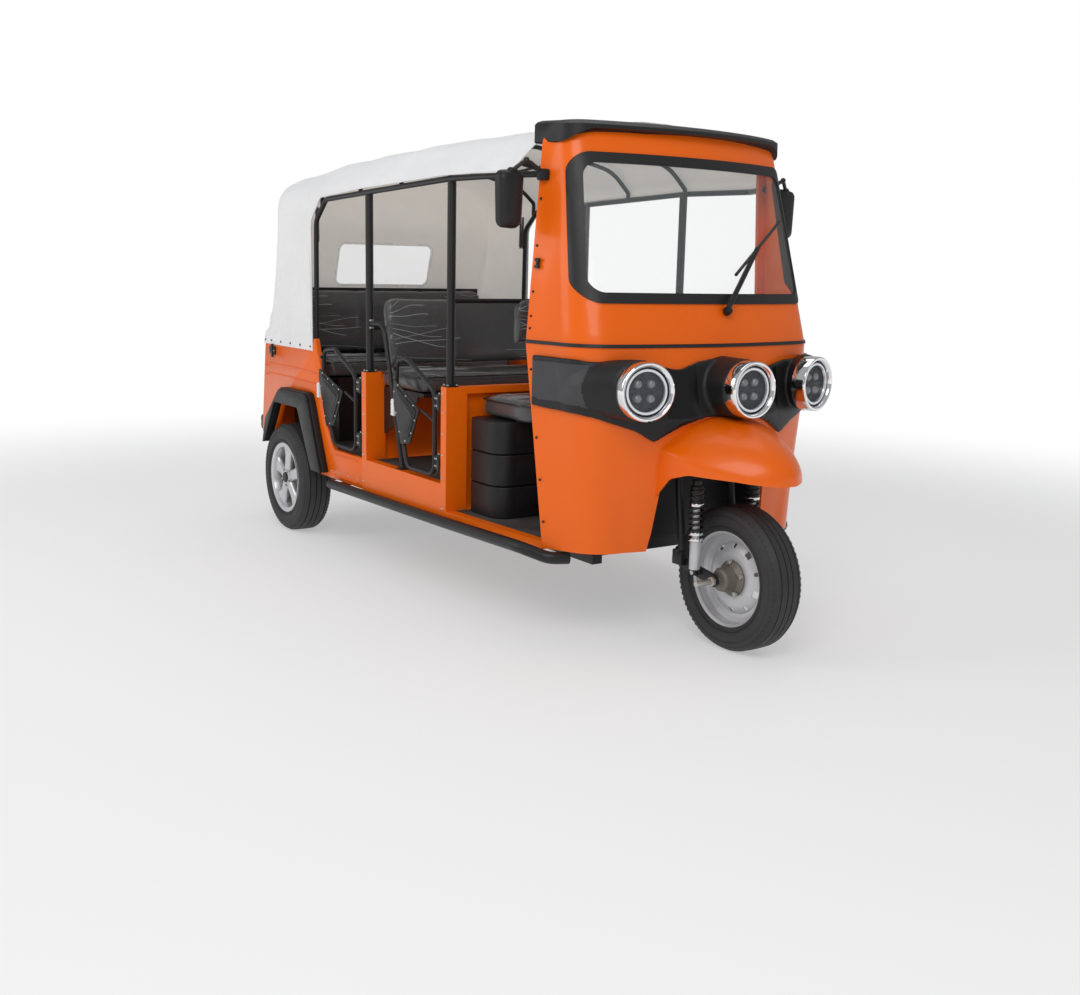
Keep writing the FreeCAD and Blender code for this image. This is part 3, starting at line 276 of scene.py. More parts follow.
HALO = Finish("halo_silver", (0.75, 0.77, 0.80), 0.22, "chrome", Pattern.PEEL, 90.0, 0.05, 0.02, 0.7)
ALLOY = Finish("alloy_silver", (0.62, 0.62, 0.64), 0.30, "silver_alloy", Pattern.PEEL, 300.0, 0.08, 0.05, 0.6)
STEEL = Finish("painted_silver", (0.58, 0.58, 0.60), 0.36, "silver_steel", Pattern.PEEL, 260.0, 0.1, 0.05, 0.35)
ZINC = Finish("zinc_bolt", (0.55, 0.53, 0.48), 0.34, "silver_steel", Pattern.BRUSHED, 200.0, 0.2, 0.15, 0.9)
CAST = Finish("cast_hub", (0.22, 0.20, 0.17), 0.55, "grey_steel", Pattern.SPECKLE, 300.0, 0.5, 0.25, 0.5)
RED = Finish("red_lens_plastic", (0.55, 0.012, 0.010), 0.14, "red_lens", Pattern.GRAIN, 160.0, 0.4, 0.05,
             coat=0.8)
AMBER = Finish("amber_lens_plastic", (0.75, 0.20, 0.015), 0.14, "red_lens", Pattern.GRAIN, 160.0, 0.4, 0.05,
               coat=0.8)
MAT = Finish("mottled_mat", (0.050, 0.047, 0.044), 0.75, "rubber", Pattern.SPECKLE, 120.0, 0.8, 0.75)
TAPE = Finish("white_film_wrap", (0.80, 0.80, 0.80), 0.4, "clear_film", Pattern.CREASE, 30.0, 0.6, 0.08)


def place(axis: str, a: float, b: float, along: float) -> Point:
    """Returns the point whose (a, b) lie across an axis, at a distance along it."""
    return {"x": (along, a, b), "y": (a, along, b), "z": (a, b, along)}[axis]


def between(table: Sequence[Sequence[float]], key: float) -> tuple[float, ...]:
    """Returns a table's row at a key, drawn between the two rows that hold it.

    Args:
        table: Rows that rise by their first value, the key.
        key: Where to read the table.

    Returns:
        The row, or the nearest end row beyond the table.
    """
    for low, high in zip(table, table[1:]):
        if key <= high[0]:
            share = max(0.0, (key - low[0]) / (high[0] - low[0]))
            return tuple(a + (b - a) * share for a, b in zip(low, high))
    return tuple(table[-1])


def oblong(a: tuple[float, float], b: tuple[float, float], bend: float) -> list[Point]:
    """Returns the four corners (a, b, bend) of an oblong, from its two (low, high) pairs."""
    return [(a[0], b[0], bend), (a[1], b[0], bend), (a[1], b[1], bend), (a[0], b[1], bend)]


def span(side: int, a: float, b: float) -> tuple[float, float]:
    """Returns the (low, high) pair of two places on one side of the vehicle."""
    return (a, b) if side > 0 else (-b, -a)


def around(centre: Point, radius: float, turn: float) -> tuple[float, float]:
    """Returns the (y, z) of a point about a wheel's axle, at a turn from the top."""
    return centre[1] + math.sin(turn) * radius, centre[2] + math.cos(turn) * radius


def rounded(points: Sequence[Point], bends: Sequence[float], closed: bool = False,
            step: float = 9.0) -> list[Vector]:
    """Replaces the corners of a line by short runs along their bends.

    Args:
        points: Corner points.
        bends: Radius at each corner, 0 for none.
        closed: Whether the last point joins the first.
        step: Degrees of a bend that one run covers.

    Returns:
        The points of the bent line.
    """
    nodes = [Vector(item) for item in points]
    count = len(nodes)
    route: list[Vector] = []
    for index, point in enumerate(nodes):
        if not bends[index] or (not closed and index in (0, count - 1)):
            route.append(point)
            continue
        back = (nodes[index - 1] - point).normalized()
        ahead = (nodes[(index + 1) % count] - point).normalized()
        half = back.angle(ahead) / 2
        middle = point + (back + ahead).normalized() * (bends[index] / math.sin(half))
        start = point + back * (bends[index] / math.tan(half)) - middle
        end = point + ahead * (bends[index] / math.tan(half)) - middle
        turn = start.angle(end)
        runs = max(2, round(math.degrees(turn) / step))
        for k in range(runs + 1):
            share = k / runs
            route.append(middle + (start * math.sin((1 - share) * turn) + end * math.sin(share * turn))
                         / math.sin(turn))
    return route


def arc(start: Vector, middle: Vector, end: Vector, count: int) -> list[Vector]:
    """Draws the arc through three points.

    Args:
        start: Its first point.
        middle: A point on it.
        end: Its last point.
        count: Number of steps.

    Returns:
        Its count + 1 points.
    """
    a, b = middle - start, end - start
    normal = a.cross(b)
    centre = start + (b * a.length_squared - a * b.length_squared).cross(normal) / (2 * normal.length_squared)
    spoke = start - centre
    axis = normal.normalized()
    reach = end - centre
    turn = math.atan2(axis.dot(spoke.cross(reach)), spoke.dot(reach)) % (2 * math.pi)
    return [centre + Matrix.Rotation(turn * k / count, 3, axis) @ spoke for k in range(count + 1)]


def put(name: str, data: bpy.types.ID) -> bpy.types.Object:
    """Puts a new object into the scene.

    Args:
        name: Its name.
        data: Its mesh, camera or light.

    Returns:
        The object.
    """
    made = bpy.data.objects.new(name, data)
    bpy.context.scene.collection.objects.link(made)
    return made


class Form:
    """A mesh in the making, in millimetres, with one finish for each part added."""

    def __init__(self, name: str) -> None:
        """Starts an empty form.

        Args:
            name: Name of the piece it becomes.
        """
        self.name = name
        self.bm = bmesh.new()
        self.finishes: list[Finish] = []

    def add(self, part: bmesh.types.BMesh, finish: Finish, bevel: float = 0.0, turns: int = 2) -> "Form":
        """Joins a part to the form.

        Args:
            part: Mesh of the part, which is used up.
            finish: Its surface finish.
            bevel: Width of its rounded edges.
            turns: Segments of each rounded edge.

        Returns:
            The form.
        """
        bmesh.ops.recalc_face_normals(part, faces=part.faces)
        if bevel:
            sharp = [e for e in part.edges if len(e.link_faces) == 2 and e.calc_face_angle(0) > 0.5]
            bmesh.ops.bevel(part, geom=sharp, offset=bevel, segments=turns, profile=0.5, affect="EDGES",
                            material=-1, clamp_overlap=True)
        if finish not in self.finishes:
            self.finishes.append(finish)
        for face in part.faces:
            face.material_index = self.finishes.index(finish)
        mesh = bpy.data.meshes.new("part")
        part.to_mesh(mesh)
        part.free()
        self.bm.from_mesh(mesh)
        bpy.data.meshes.remove(mesh)
        return self

    def box(self, x: Sequence[float], y: Sequence[float], z: Sequence[float], finish: Finish,
            bevel: float = 2.0) -> "Form":
        """Adds a box.

        Args:
            x: Its (low, high) pair across the vehicle.
            y: Its pair along the vehicle.
            z: Its pair upwards.
            finish: Surface finish.
            bevel: Width of its rounded edges.

        Returns:
            The form.
        """
        part = bmesh.new()
        sizes = [high - low for low, high in (x, y, z)]
        centre = [(high + low) / 2 for low, high in (x, y, z)]
        shape = Matrix.Translation(centre) @ Matrix.Diagonal((*sizes, 1.0))
        bmesh.ops.create_cube(part, size=1.0, matrix=shape)
        return self.add(part, finish, bevel)

    def bar(self, start: Point, end: Point, radius: float, finish: Finish, tip: float | None = None,
            sides: int = 24, bevel: float = 0.0) -> "Form":
        """Adds a round bar, or a cone where its tip has another radius.

        Args:
            start: Middle of its first end.
            end: Middle of its second end.
            radius: Radius, at the first end where the tip differs.
            finish: Surface finish.
            tip: Radius at the second end.
            sides: Number of flat sides.
            bevel: Width of its rounded edges.

        Returns:
            The form.
        """
        part = bmesh.new()
        low, high = Vector(start), Vector(end)
        turn = (high - low).to_track_quat("Z", "Y").to_matrix().to_4x4()
        bmesh.ops.create_cone(part, cap_ends=True, segments=sides, radius1=radius,
                              radius2=radius if tip is None else tip, depth=(high - low).length,
                              matrix=Matrix.Translation((low + high) / 2) @ turn)
        return self.add(part, finish, bevel)

    def ball(self, centre: Point, radius: float, finish: Finish) -> "Form":
        """Adds a ball.

        Args:
            centre: Its centre.
            radius: Its radius.
            finish: Surface finish.

        Returns:
            The form.
        """
        part = bmesh.new()
        bmesh.ops.create_uvsphere(part, u_segments=20, v_segments=12, radius=radius,
                                  matrix=Matrix.Translation(centre))
        return self.add(part, finish)

    def slab(self, axis: str, outline: Sequence[Sequence[float]], low: float, high: float, finish: Finish,
             bevel: float = 0.0, turns: int = 2) -> "Form":
        """Adds an outline pushed along an axis.

        Args:
            axis: Name of the axis.
            outline: Its (a, b) or (a, b, bend) corners.
            low: Place of its first face.
            high: Place of its second face.
            finish: Surface finish.
            bevel: Width of its rounded edges.
            turns: Segments of each rounded edge.

        Returns:
            The form.
        """
        part = bmesh.new()
        corners = [place(axis, item[0], item[1], low) for item in outline]
        ring = rounded(corners, [item[2] if len(item) > 2 else 0 for item in outline], True)
        face = part.faces.new([part.verts.new(point) for point in ring])
        made = bmesh.ops.extrude_face_region(part, geom=[face])["geom"]
        ends = [item for item in made if isinstance(item, bmesh.types.BMVert)]
        bmesh.ops.translate(part, verts=ends, vec=Vector(place(axis, 0, 0, high - low)))
        return self.add(part, finish, bevel, turns)

    def tube(self, points: Sequence[Point], bends: Sequence[float], radius: float, finish: Finish,
             closed: bool = False, sides: int = 3) -> "Form":
        """Adds a round tube along a bent line.

        Args:
            points: Corner points of the line.
            bends: Radius at each corner.
            radius: Radius of the tube.
            finish: Surface finish.
            closed: Whether the last point joins the first.
            sides: Fineness of its round.

        Returns:
            The form.
        """
        curve = bpy.data.curves.new("route", "CURVE")
        curve.dimensions = "3D"
        curve.bevel_depth = radius
        curve.bevel_resolution = sides
        curve.use_fill_caps = not closed
        route = rounded(points, bends, closed)
        line = curve.splines.new("POLY")
        line.points.add(len(route) - 1)
        for item, point in zip(line.points, route):
            item.co = (*point, 1.0)
        line.use_cyclic_u = closed
        holder = bpy.data.objects.new("route", curve)
        mesh = bpy.data.meshes.new_from_object(holder)
        part = bmesh.new()
        part.from_mesh(mesh)
        bmesh.ops.remove_doubles(part, verts=part.verts, dist=0.01)
        bpy.data.objects.remove(holder)
        bpy.data.curves.remove(curve)
        bpy.data.meshes.remove(mesh)
        return self.add(part, finish)

    def lathe(self, profile: Sequence[tuple[float, float]], centre: Point, finish: Finish, sides: int = 48,
              axis: Point = ACROSS) -> "Form":
        """Adds a closed profile turned about an axis.

        Args:
            profile: Its (along, radius) corners.
            centre: Point of the axis at which along is 0.
            finish: Surface finish.
            sides: Number of steps round.
            axis: Direction of the axis.

        Returns:
            The form.
        """
        part = bmesh.new()
        along = Vector(axis).normalized()
        across = along.orthogonal().normalized()
        corners = [part.verts.new(Vector(centre) + along * a + across * r) for a, r in profile]
        edges = [part.edges.new(pair) for pair in zip(corners, corners[1:] + corners[:1])]
        bmesh.ops.spin(part, geom=corners + edges, cent=centre, axis=along, angle=2 * math.pi, steps=sides,
                       use_merge=True)
        return self.add(part, finish)

    def skin(self, rings: Sequence[Sequence[Vector]], finish: Finish, bevel: float = 0.0) -> "Form":
        """Adds a closed skin drawn from ring to ring, with both ends filled.

        Args:
            rings: Rings of as many points each.
            finish: Surface finish.
            bevel: Width of its rounded edges.

        Returns:
            The form.
        """
        part = sweep(rings, True)
        bmesh.ops.holes_fill(part, edges=[edge for edge in part.edges if edge.is_boundary], sides=0)
        return self.add(part, finish, bevel)

    def mirror(self) -> "Form":
        """Adds the mirror image on the other side of the vehicle.

        Returns:
            The form.
        """
        source = self.bm.verts[:] + self.bm.edges[:] + self.bm.faces[:]
        made = bmesh.ops.duplicate(self.bm, geom=source)["geom"]
        bmesh.ops.scale(self.bm, vec=(-1, 1, 1), verts=[v for v in made if isinstance(v, bmesh.types.BMVert)])
        bmesh.ops.reverse_faces(self.bm, faces=[f for f in made if isinstance(f, bmesh.types.BMFace)])
        return self

    def loose(self) -> bpy.types.Object:
        """Turns the form, which is used up, into an object of the scene.

        Returns:
            The object.
        """
        bmesh.ops.scale(self.bm, vec=(MM, MM, MM), verts=self.bm.verts)
        mesh = bpy.data.meshes.new(self.name)
        self.bm.to_mesh(mesh)
        self.bm.free()
        for finish in self.finishes:
            mesh.materials.append(finish.material())
        return put(self.name, mesh)

    def piece(self, *replaced: str, body: Body = Body.VEHICLE, crease: float = 32.0) -> bpy.types.Object:
        """Turns the form into a piece that rides on a body.

        Args:
            replaced: CAD nodes it stands for.
            body: CAD body it rides on.
            crease: Angle in degrees above which an edge is sharp.

        Returns:
            The new object.
        """
        bmesh.ops.delete(self.bm, geom=[v for v in self.bm.verts if not v.link_faces], context="VERTS")
        made = self.loose()
        made.data.shade_smooth()
        made.data.set_sharp_from_angle(angle=math.radians(crease))
        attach(made, body.value)
        if replaced:
            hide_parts(*replaced)
        LOG.info("%s: %d faces on %s", self.name, len(made.data.polygons), body.value)
        return made


def sweep(rings: Sequence[Sequence[Vector]], around: bool) -> bmesh.types.BMesh:
    """Draws an open skin from ring to ring.

    Args:
        rings: Rings of as many points each.
        around: Whether each ring is closed.

    Returns:
        The mesh of the skin.
    """
    part = bmesh.new()
    ring = [part.verts.new(point) for point in rings[0]]
    pairs = list(zip(ring, ring[1:] + ring[:1])) if around else list(zip(ring, ring[1:]))
    edges = [part.edges.new(pair) for pair in pairs]
    for points in rings[1:]:
        made = bmesh.ops.extrude_edge_only(part, edges=edges)["geom"]
        fresh = {tuple(item.co): item for item in made if isinstance(item, bmesh.types.BMVert)}
        following = [fresh[tuple(item.co)] for item in ring]
        edges = [item for item in made if isinstance(item, bmesh.types.BMEdge)]
        for vertex, point in zip(following, points):
            vertex.co = point
        ring = following
    return part


def carve(piece: bpy.types.Object, form: Form, how: str = "DIFFERENCE", crease: float = 32.0) -> None:
    """Cuts a piece by a form, or joins the form to it.

    Args:
        piece: Object to change.
        form: Form that cuts it, which is used up.
        how: What is kept: DIFFERENCE, INTERSECT or UNION.
        crease: Angle in degrees above which an edge is sharp.
    """
    blade = form.loose()
    cut = piece.modifiers.new("carve", "BOOLEAN")
    cut.operation, cut.solver, cut.object = how, "EXACT", blade
    settle(piece, crease)
    bpy.data.objects.remove(blade)


def settle(piece: bpy.types.Object, crease: float = 32.0) -> None:
    """Applies a piece's modifiers to its mesh.

    Args:
        piece: Object with modifiers.
        crease: Angle in degrees above which an edge is sharp.
    """
    bpy.context.view_layer.update()
    graph = bpy.context.evaluated_depsgraph_get()
    mesh = bpy.data.meshes.new_from_object(piece.evaluated_get(graph))
    piece.modifiers.clear()
    piece.data = mesh
    mesh.shade_smooth()
    mesh.set_sharp_from_angle(angle=math.radians(crease))


# Cab levels: z, flange x, flange y, side x, side y, corner x, corner y, nose y
CAB = [(330, 538, -932, 492, -1030, 345, -1126, -1172), (780, 542, -857, 508, -1012, 425, -1138, -1228),
       (1012, 544, -817, 526, -965, 440, -1126, -1184), (1662, 500, -827, 474, -866, 402, -946, -1006),
       (1706, 482, -828, 460, -858, 390, -933, -992)]
VISOR = [(1702, 500, -790, 472, -868, 402, -946, -1006), (1705, 507, -790, 478, -880, 412, -958, -1024),
         (1716, 507, -790, 477, -880, 411, -958, -1024), (1726, 496, -790, 466, -870, 400, -948, -1012),
         (1732, 476, -790, 446, -852, 382, -930, -990), (1734, 450, -790, 420, -840, 360, -905, -965)]
WINDSCREEN = [(-506, 1151, 70), (506, 1151, 70), (466, 1630, 70), (-466, 1630, 70)]


@dataclass
class Cab:
    """Front cab shell with its glass, seal, waist strip and visor.

    Attributes:
        wall: Thickness of the shell.
        lip: Depth of the return behind its flange.
        seal: Width of the windscreen rubber.
        rows: Rows of faces between two levels.
    """

    wall: float = 14.0
    lip: float = 46.0
    seal: float = 34.0
    rows: int = 14

    def level(self, z: float) -> tuple[float, ...]:
        """Returns the plan measures of the cab at a height."""
        return between(CAB, z)

    def line(self, level: Sequence[float], offset: float) -> list[Vector]:
        """Draws the plan line of the cab from the left flange round to the right one.

        Args:
            level: Row of the cab's table.
            offset: How far outside the shell it runs.

        Returns:
            Its points.
        """
        z, flange_x, flange_y, side_x, side_y, corner_x, corner_y, nose_y = level
        flange = Vector((flange_x + offset, flange_y + min(0, offset), z))
        side = Vector((side_x + offset, side_y, z))
        corner = Vector((corner_x + 0.5 * offset, corner_y - 0.87 * offset, z))
        across = Vector((corner.y - side.y, side.x - corner.x, 0)).normalized()
        bulge = (side + corner) / 2 - across * 0.16 * (side - corner).length
        left = [flange, flange.lerp(side, 0.5)] + arc(side, bulge, corner, 8)
        front = arc(corner, Vector((0, nose_y - offset, z)), Vector((-corner.x, corner.y, z)), 32)
        return left + front[1:-1] + [Vector((-p.x, p.y, p.z)) for p in reversed(left)]

    def ring(self, level: Sequence[float], outer: float, inner: float, lip: float = 0.0) -> list[Vector]:
        """Draws the closed section of a wall between two offsets.

        Args:
            level: Row of the cab's table.
            outer: Offset of its outer face.
            inner: Offset of its inner face.
            lip: Reach of the inward lip at its ends.

        Returns:
            Its points.
        """
        parts = []
        for offset in (outer, inner):
            points = self.line(level, offset)
            if lip:
                inward = Vector((level[1] - lip, points[0].y, level[0]))
                points = [inward] + points + [Vector((-inward.x, inward.y, inward.z))]
            parts.append(points)
        return parts[0] + parts[1][::-1]

    def wall_between(self, name: str, heights: Sequence[float], outer: float, inner: float, finish: Finish,
                     lip: float = 0.0) -> Form:
        """Makes a wall that follows the cab.

        Args:
            name: Name of its form.
            heights: Heights of its rings.
            outer: Offset of its outer face.
            inner: Offset of its inner face.
            finish: Surface finish.
            lip: Reach of the inward lip at its ends.

        Returns:
            Its form.
        """
        rings = [self.ring(self.level(z), outer, inner, lip) for z in heights]
        return Form(name).skin(rings, finish)

    def opening(self, inset: float) -> Form:
        """Makes a form with the windscreen's outline, to cut with.

        Args:
            inset: How much smaller it is on each side.

        Returns:
            The form.
        """
        outline = []
        for x, z, bend in WINDSCREEN:
            up = 1 if z < 1400 else -1
            outline.append((x - math.copysign(inset, x), z + up * inset, bend - inset * 0.6))
        return Form("opening").slab("y", outline, -1400, -850, PAINT)

    def build(self) -> None:
        """Makes the cab's pieces."""
        heights = [z for low, high in zip(CAB, CAB[1:]) for z in
                   (low[0] + (high[0] - low[0]) * k / self.rows for k in range(self.rows))] + [CAB[-1][0]]
        shell = self.wall_between("cab_shell", heights, 0, -self.wall, PAINT, self.lip)
        piece = shell.piece("nose_panel", "windscreen_surround")
        arch = [(-268, 300), (268, 300), (250, 390, 100), (232, 560, 60), (190, 690, 70),
                (-190, 690, 70), (-232, 560, 60), (-250, 390, 100)]
        carve(piece, Form("arch").slab("y", arch, -1400, -1050, PAINT))
        carve(piece, self.opening(0))
        screen = [1110 + 10 * k for k in range(56)]
        rubber = self.wall_between("windscreen_seal", screen, 5, -8, RUBBER)
        rubber = rubber.piece("cab_rubbers")
        carve(rubber, self.opening(0), "INTERSECT")
        carve(rubber, self.opening(self.seal))
        glass = self.wall_between("windscreen_pane", screen, -1, -6, GLASS)
        carve(glass.piece("windscreen_glass"), self.opening(self.seal), "INTERSECT")
        strip = self.wall_between("waist_strip", [1011, 1013, 1020, 1022], 4, -1, RUBBER)
        strip.piece()
        self.visor()
        self.flange_bolts()

    def visor(self) -> None:
        """Makes the cap over the windscreen, whose corners hang lower."""
        rings = []
        for level in VISOR:
            ring = self.line(level, 0)
            for point in ring:
                corner = min(1.0, max(0.0, (abs(point.x) - 372) / 100))
                if level[0] < 1710:
                    point.z -= 44 * corner * corner
            rings.append(ring)
        Form("visor_cap").skin(rings, MOULDED).piece("roof_visor", crease=50)

    def flange_bolts(self) -> None:
        """Makes the bolts down both flanges and the small hinge on the right one."""
        form = Form("flange_bolts")
        for z in (420, 560, 700, 925, 1060, 1100, 1180, 1330, 1480):
            level = self.level(z)
            x, y = level[1] - 3, level[2] - 16
            form.bar((x, y, z), (x + 5, y, z), 4.5, SATIN, tip=3.2, sides=12)
        for z in (1262, 1284):
            level = self.level(z)
            form.box((level[1] - 2, level[1] + 7), (level[2] - 44, level[2] - 20), (z - 5, z + 5), SATIN, 1.5)
        level = self.level(1273)
        form.box((level[1] - 2, level[1] + 5), (level[2] - 38, level[2] - 26), (1256, 1290), SATIN, 1.5)
        form.mirror().piece()


MASK_TOP = [(600, 984, 0), (480, 968, 60), (300, 962, 60), (190, 940, 60), (110, 968, 60), (0, 980, 0)]
MASK_LOW = [(0, 786, 0), (100, 784, 40), (190, 757, 50), (283, 706, 8), (345, 742, 40), (470, 785, 40),
            (600, 822, 0)]
# Pods: share of the way from the wing to the bezel, radius
SIDE_POD = [(0, 20), (0.15, 48), (0.32, 72), (0.5, 87), (0.7, 95), (0.85, 98), (1, 98)]
MIDDLE_POD = [(0, 128), (0.2, 112), (0.45, 102), (0.75, 99), (1, 98)]


@dataclass
class Headlamps:
    """Black mask with its three lamps.

    Attributes:
        radius: Radius of a chrome bezel.
        cup: Radius of the cup inside it.
        depth: Depth of a bezel.
        splay: Outward turn of the side lamps in degrees.
    """

    radius: float = 95.0
    cup: float = 76.0
    depth: float = 50.0
    splay: float = 12.0

    def lamps(self) -> Iterable[tuple[Vector, Vector, float]]:
        """Works out where the lamps sit.

        Returns:
            The seat, axis and x of each lamp, one after another.
        """
        for x, y in ((-379.0, -1273.0), (0.0, -1354.0), (379.0, -1273.0)):
            turn = math.radians(self.splay) * (x > 0) - math.radians(self.splay) * (x < 0)
            axis = Vector((math.sin(turn), -math.cos(turn), 0))
            yield Vector((x, y, 881.0)) - axis * self.depth, axis, x

    def build(self, cab: Cab) -> None:
        """Makes the mask, bezels, optics and lenses.

        Args:
            cab: Cab that they lie on.
        """
        self.mask(cab)
        bezels, optics, lenses = Form("lamp_bezels"), Form("lamp_optics"), Form("lamp_lenses")
        for seat, axis, _ in self.lamps():
            self.lamp(bezels, optics, lenses, seat, axis)
        bezels.piece("headlamp_bezels")
        optics.piece()
        lenses.piece("headlamp_lenses")

    def mask(self, cab: Cab) -> None:
        """Makes the mask, with pods that grow out of it.

        Args:
            cab: Cab that it lies on.
        """
        right = MASK_LOW + MASK_TOP
        outline = right + [(-x, z, bend) for x, z, bend in reversed(MASK_TOP[:-1])]
        outline += [(-x, z, bend) for x, z, bend in reversed(MASK_LOW[1:])]
        heights = [690 + 15 * k for k in range(21)]
        mask = cab.wall_between("lamp_fascia", heights, 16, 0.5, MOULDED)
        piece = mask.piece("lamp_mask")
        carve(piece, Form("outline").slab("y", outline, -1500, -868, MOULDED), "INTERSECT")
        pods = Form("pods")
        for seat, axis, x in self.lamps():
            wing = abs(x) > 1
            rear = Vector((x * 1.33, -1000, 884)) if wing else Vector((0, -1110, 878))
            swell = SIDE_POD if wing else MIDDLE_POD
            rings = []
            for share, radius in swell:
                centre = rear.lerp(seat + axis * 6, share)
                facing = Vector((0, -1, 0)).lerp(axis, share).normalized()
                across = Vector((-facing.y, facing.x, 0))
                turns = [2 * math.pi * k / 48 for k in range(48)]
                rings.append([centre + across * (radius * math.cos(turn))
                              + Vector((0, 0, min(radius, 104) * math.sin(turn))) for turn in turns])
            pods.skin(rings, MOULDED)
        carve(piece, pods, "UNION")
        melt = piece.modifiers.new("melt", "REMESH")
        melt.mode, melt.voxel_size = "VOXEL", 0.006
        calm = piece.modifiers.new("calm", "SMOOTH")
        calm.factor, calm.iterations = 0.5, 7
        settle(piece, 60)
        piece.data.materials.clear()
        for finish in (GLOSSY, MOULDED, GREY_PLASTIC):
            piece.data.materials.append(finish.material())
        for face in piece.data.polygons:
            x, y, z = (part / MM for part in face.center)
            side = abs(x) > 452 and 800 < z < 955 and y > -1110
            edge = abs(x) > 452 and (z > 955 or z < 800 + (abs(x) - 470) * 0.28 + 12)
            matt = abs(x) > 250 or abs(x) < 130
            face.material_index = 2 if side and not edge else int(matt)

    def lamp(self, bezels: Form, optics: Form, lenses: Form, seat: Vector, axis: Vector) -> None:
        """Adds one lamp to the three forms.

        Args:
            bezels: Form of the chrome rings.
            optics: Form of the cups and their lights.
            lenses: Form of the clear covers.
            seat: Centre of its back.
            axis: Direction in which it looks.
        """
        deep, cup = self.depth, self.cup
        bezels.lathe([(0, self.radius), (deep - 7, self.radius), (deep - 2, self.radius - 2),
                      (deep, self.radius - 5), (deep, self.radius - 9), (deep - 4, cup + 5),
                      (deep - 12, cup + 2), (2, cup + 2)], seat, CHROME, 64, axis)
        optics.lathe([(4, 0.5), (4, cup), (deep - 14, cup + 1), (deep - 14, cup - 2), (9, cup - 14), (9, 0.5)],
                     seat, GLOSSY, 48, axis)
        optics.lathe([(deep - 17, cup - 2), (deep - 12, cup - 4), (deep - 12, cup - 11), (deep - 18, cup - 13)],
                     seat, HALO, 64, axis)
        across = axis.cross(Vector((0, 0, 1))).normalized()
        for k in range(4):
            turn = math.radians(45 + 90 * k)
            spoke = across * math.cos(turn) + Vector((0, 0, math.sin(turn)))
            socket = seat + axis * 14 + spoke * 33
            optics.lathe([(0, 20), (8, 21), (9, 19), (2, 15)], socket, GLOSSY, 24, axis)
            optics.ball(socket + axis * 3, 15, LENS_CORE)
            turn += math.pi / 4
            fin = across * math.cos(turn) + Vector((0, 0, math.sin(turn)))
            start, end = seat + axis * 12 + fin * 4, seat + axis * 20 + fin * 58
            optics.bar(start, end, 2.0, GLOSSY, tip=6.0, sides=8)
        optics.ball(seat + axis * 16, 8, GLOSSY)
        lenses.lathe([(deep - 20, 0.5), (deep - 22, 40), (deep - 25, cup - 10), (deep - 23, cup - 1),
                      (deep - 14, cup - 1), (deep - 6, cup - 12), (deep - 2, 40), (deep, 0.5)],
                     seat, LENS, 48, axis)


# Mudguard stations: y, half width, lower z, side height z, crest z
GUARD = [(-1150, 254, 470, 690, 796), (-1180, 249, 470, 682, 792), (-1240, 240, 470, 668, 786),
         (-1300, 226, 470, 652, 776), (-1360, 194, 470, 636, 758), (-1420, 155, 470, 622, 731),
         (-1470, 118, 470, 612, 701), (-1505, 82, 470, 606, 673), (-1527, 46, 470, 604, 648),
         (-1536, 22, 470, 606, 634)]
GUARD_UNDER = [(-1000, 400), (-1118, 470), (-1150, 500), (-1180, 532, 30), (-1228, 588, 40), (-1300, 610, 60),
               (-1440, 602, 60), (-1560, 588), (-1700, 584), (-1700, 400)]


@dataclass
class Mudguard:
    """Fixed orange mudguard over the front wheel.

    Attributes:
        wall: Sheet thickness.
    """

    wall: float = 4.0

    def section(self, row: Sequence[float], inset: float) -> list[Vector]:
        """Draws the line over the guard at one station, from side to side.

        Args:
            row: Row of the guard's table.
            inset: How far inside its outer face the line runs.

        Returns:
            Its points.
        """
        y, half, low, side, crest = row
        left, right = Vector((half - inset, y, side)), Vector((inset - half, y, side))
        top = arc(left, Vector((0, y, crest - inset)), right, 28)
        drop = [Vector((half - inset, y, low + (side - 8 - low) * k / 3)) for k in range(4)]
        return drop + top + [Vector((-p.x, p.y, p.z)) for p in reversed(drop)]

    def build(self) -> None:
        """Makes the mudguard."""
        piece = Form("mudguard_shell").skin([self.section(row, 0) for row in GUARD], PAINT)
        piece = piece.piece("front_mudguard", crease=45)
        inner = [(row[0] + self.wall * (k > 6), *row[1:]) for k, row in enumerate(GUARD)]
        inner[0] = (inner[0][0] + 20, *inner[0][1:])
        hollow = Form("hollow").skin([self.section(row, self.wall) for row in inner], PAINT)
        carve(piece, hollow, crease=45)
        carve(piece, Form("under").slab("x", GUARD_UNDER, -400, 400, PAINT), crease=45)


# Roof arch along the vehicle: y, shoulder z, knee z, crown z before the bends are rounded
ARCHES = [(-790, 1588, 1690, 1786), (-589, 1590, 1698, 1796), (60, 1590, 1700, 1798),
          (713, 1580, 1682, 1776), (1262, 1558, 1638, 1715)]
# Back of the cover: z and y
BACK = [(870, 1452), (1000, 1400), (1179, 1330), (1300, 1290), (1440, 1254), (1560, 1268), (1720, 1262)]
# Hoops: y and the foot of each on the roof rail
HOOPS = [(-317, 1566), (60, 1553), (420, 1541), (800, 1496)]


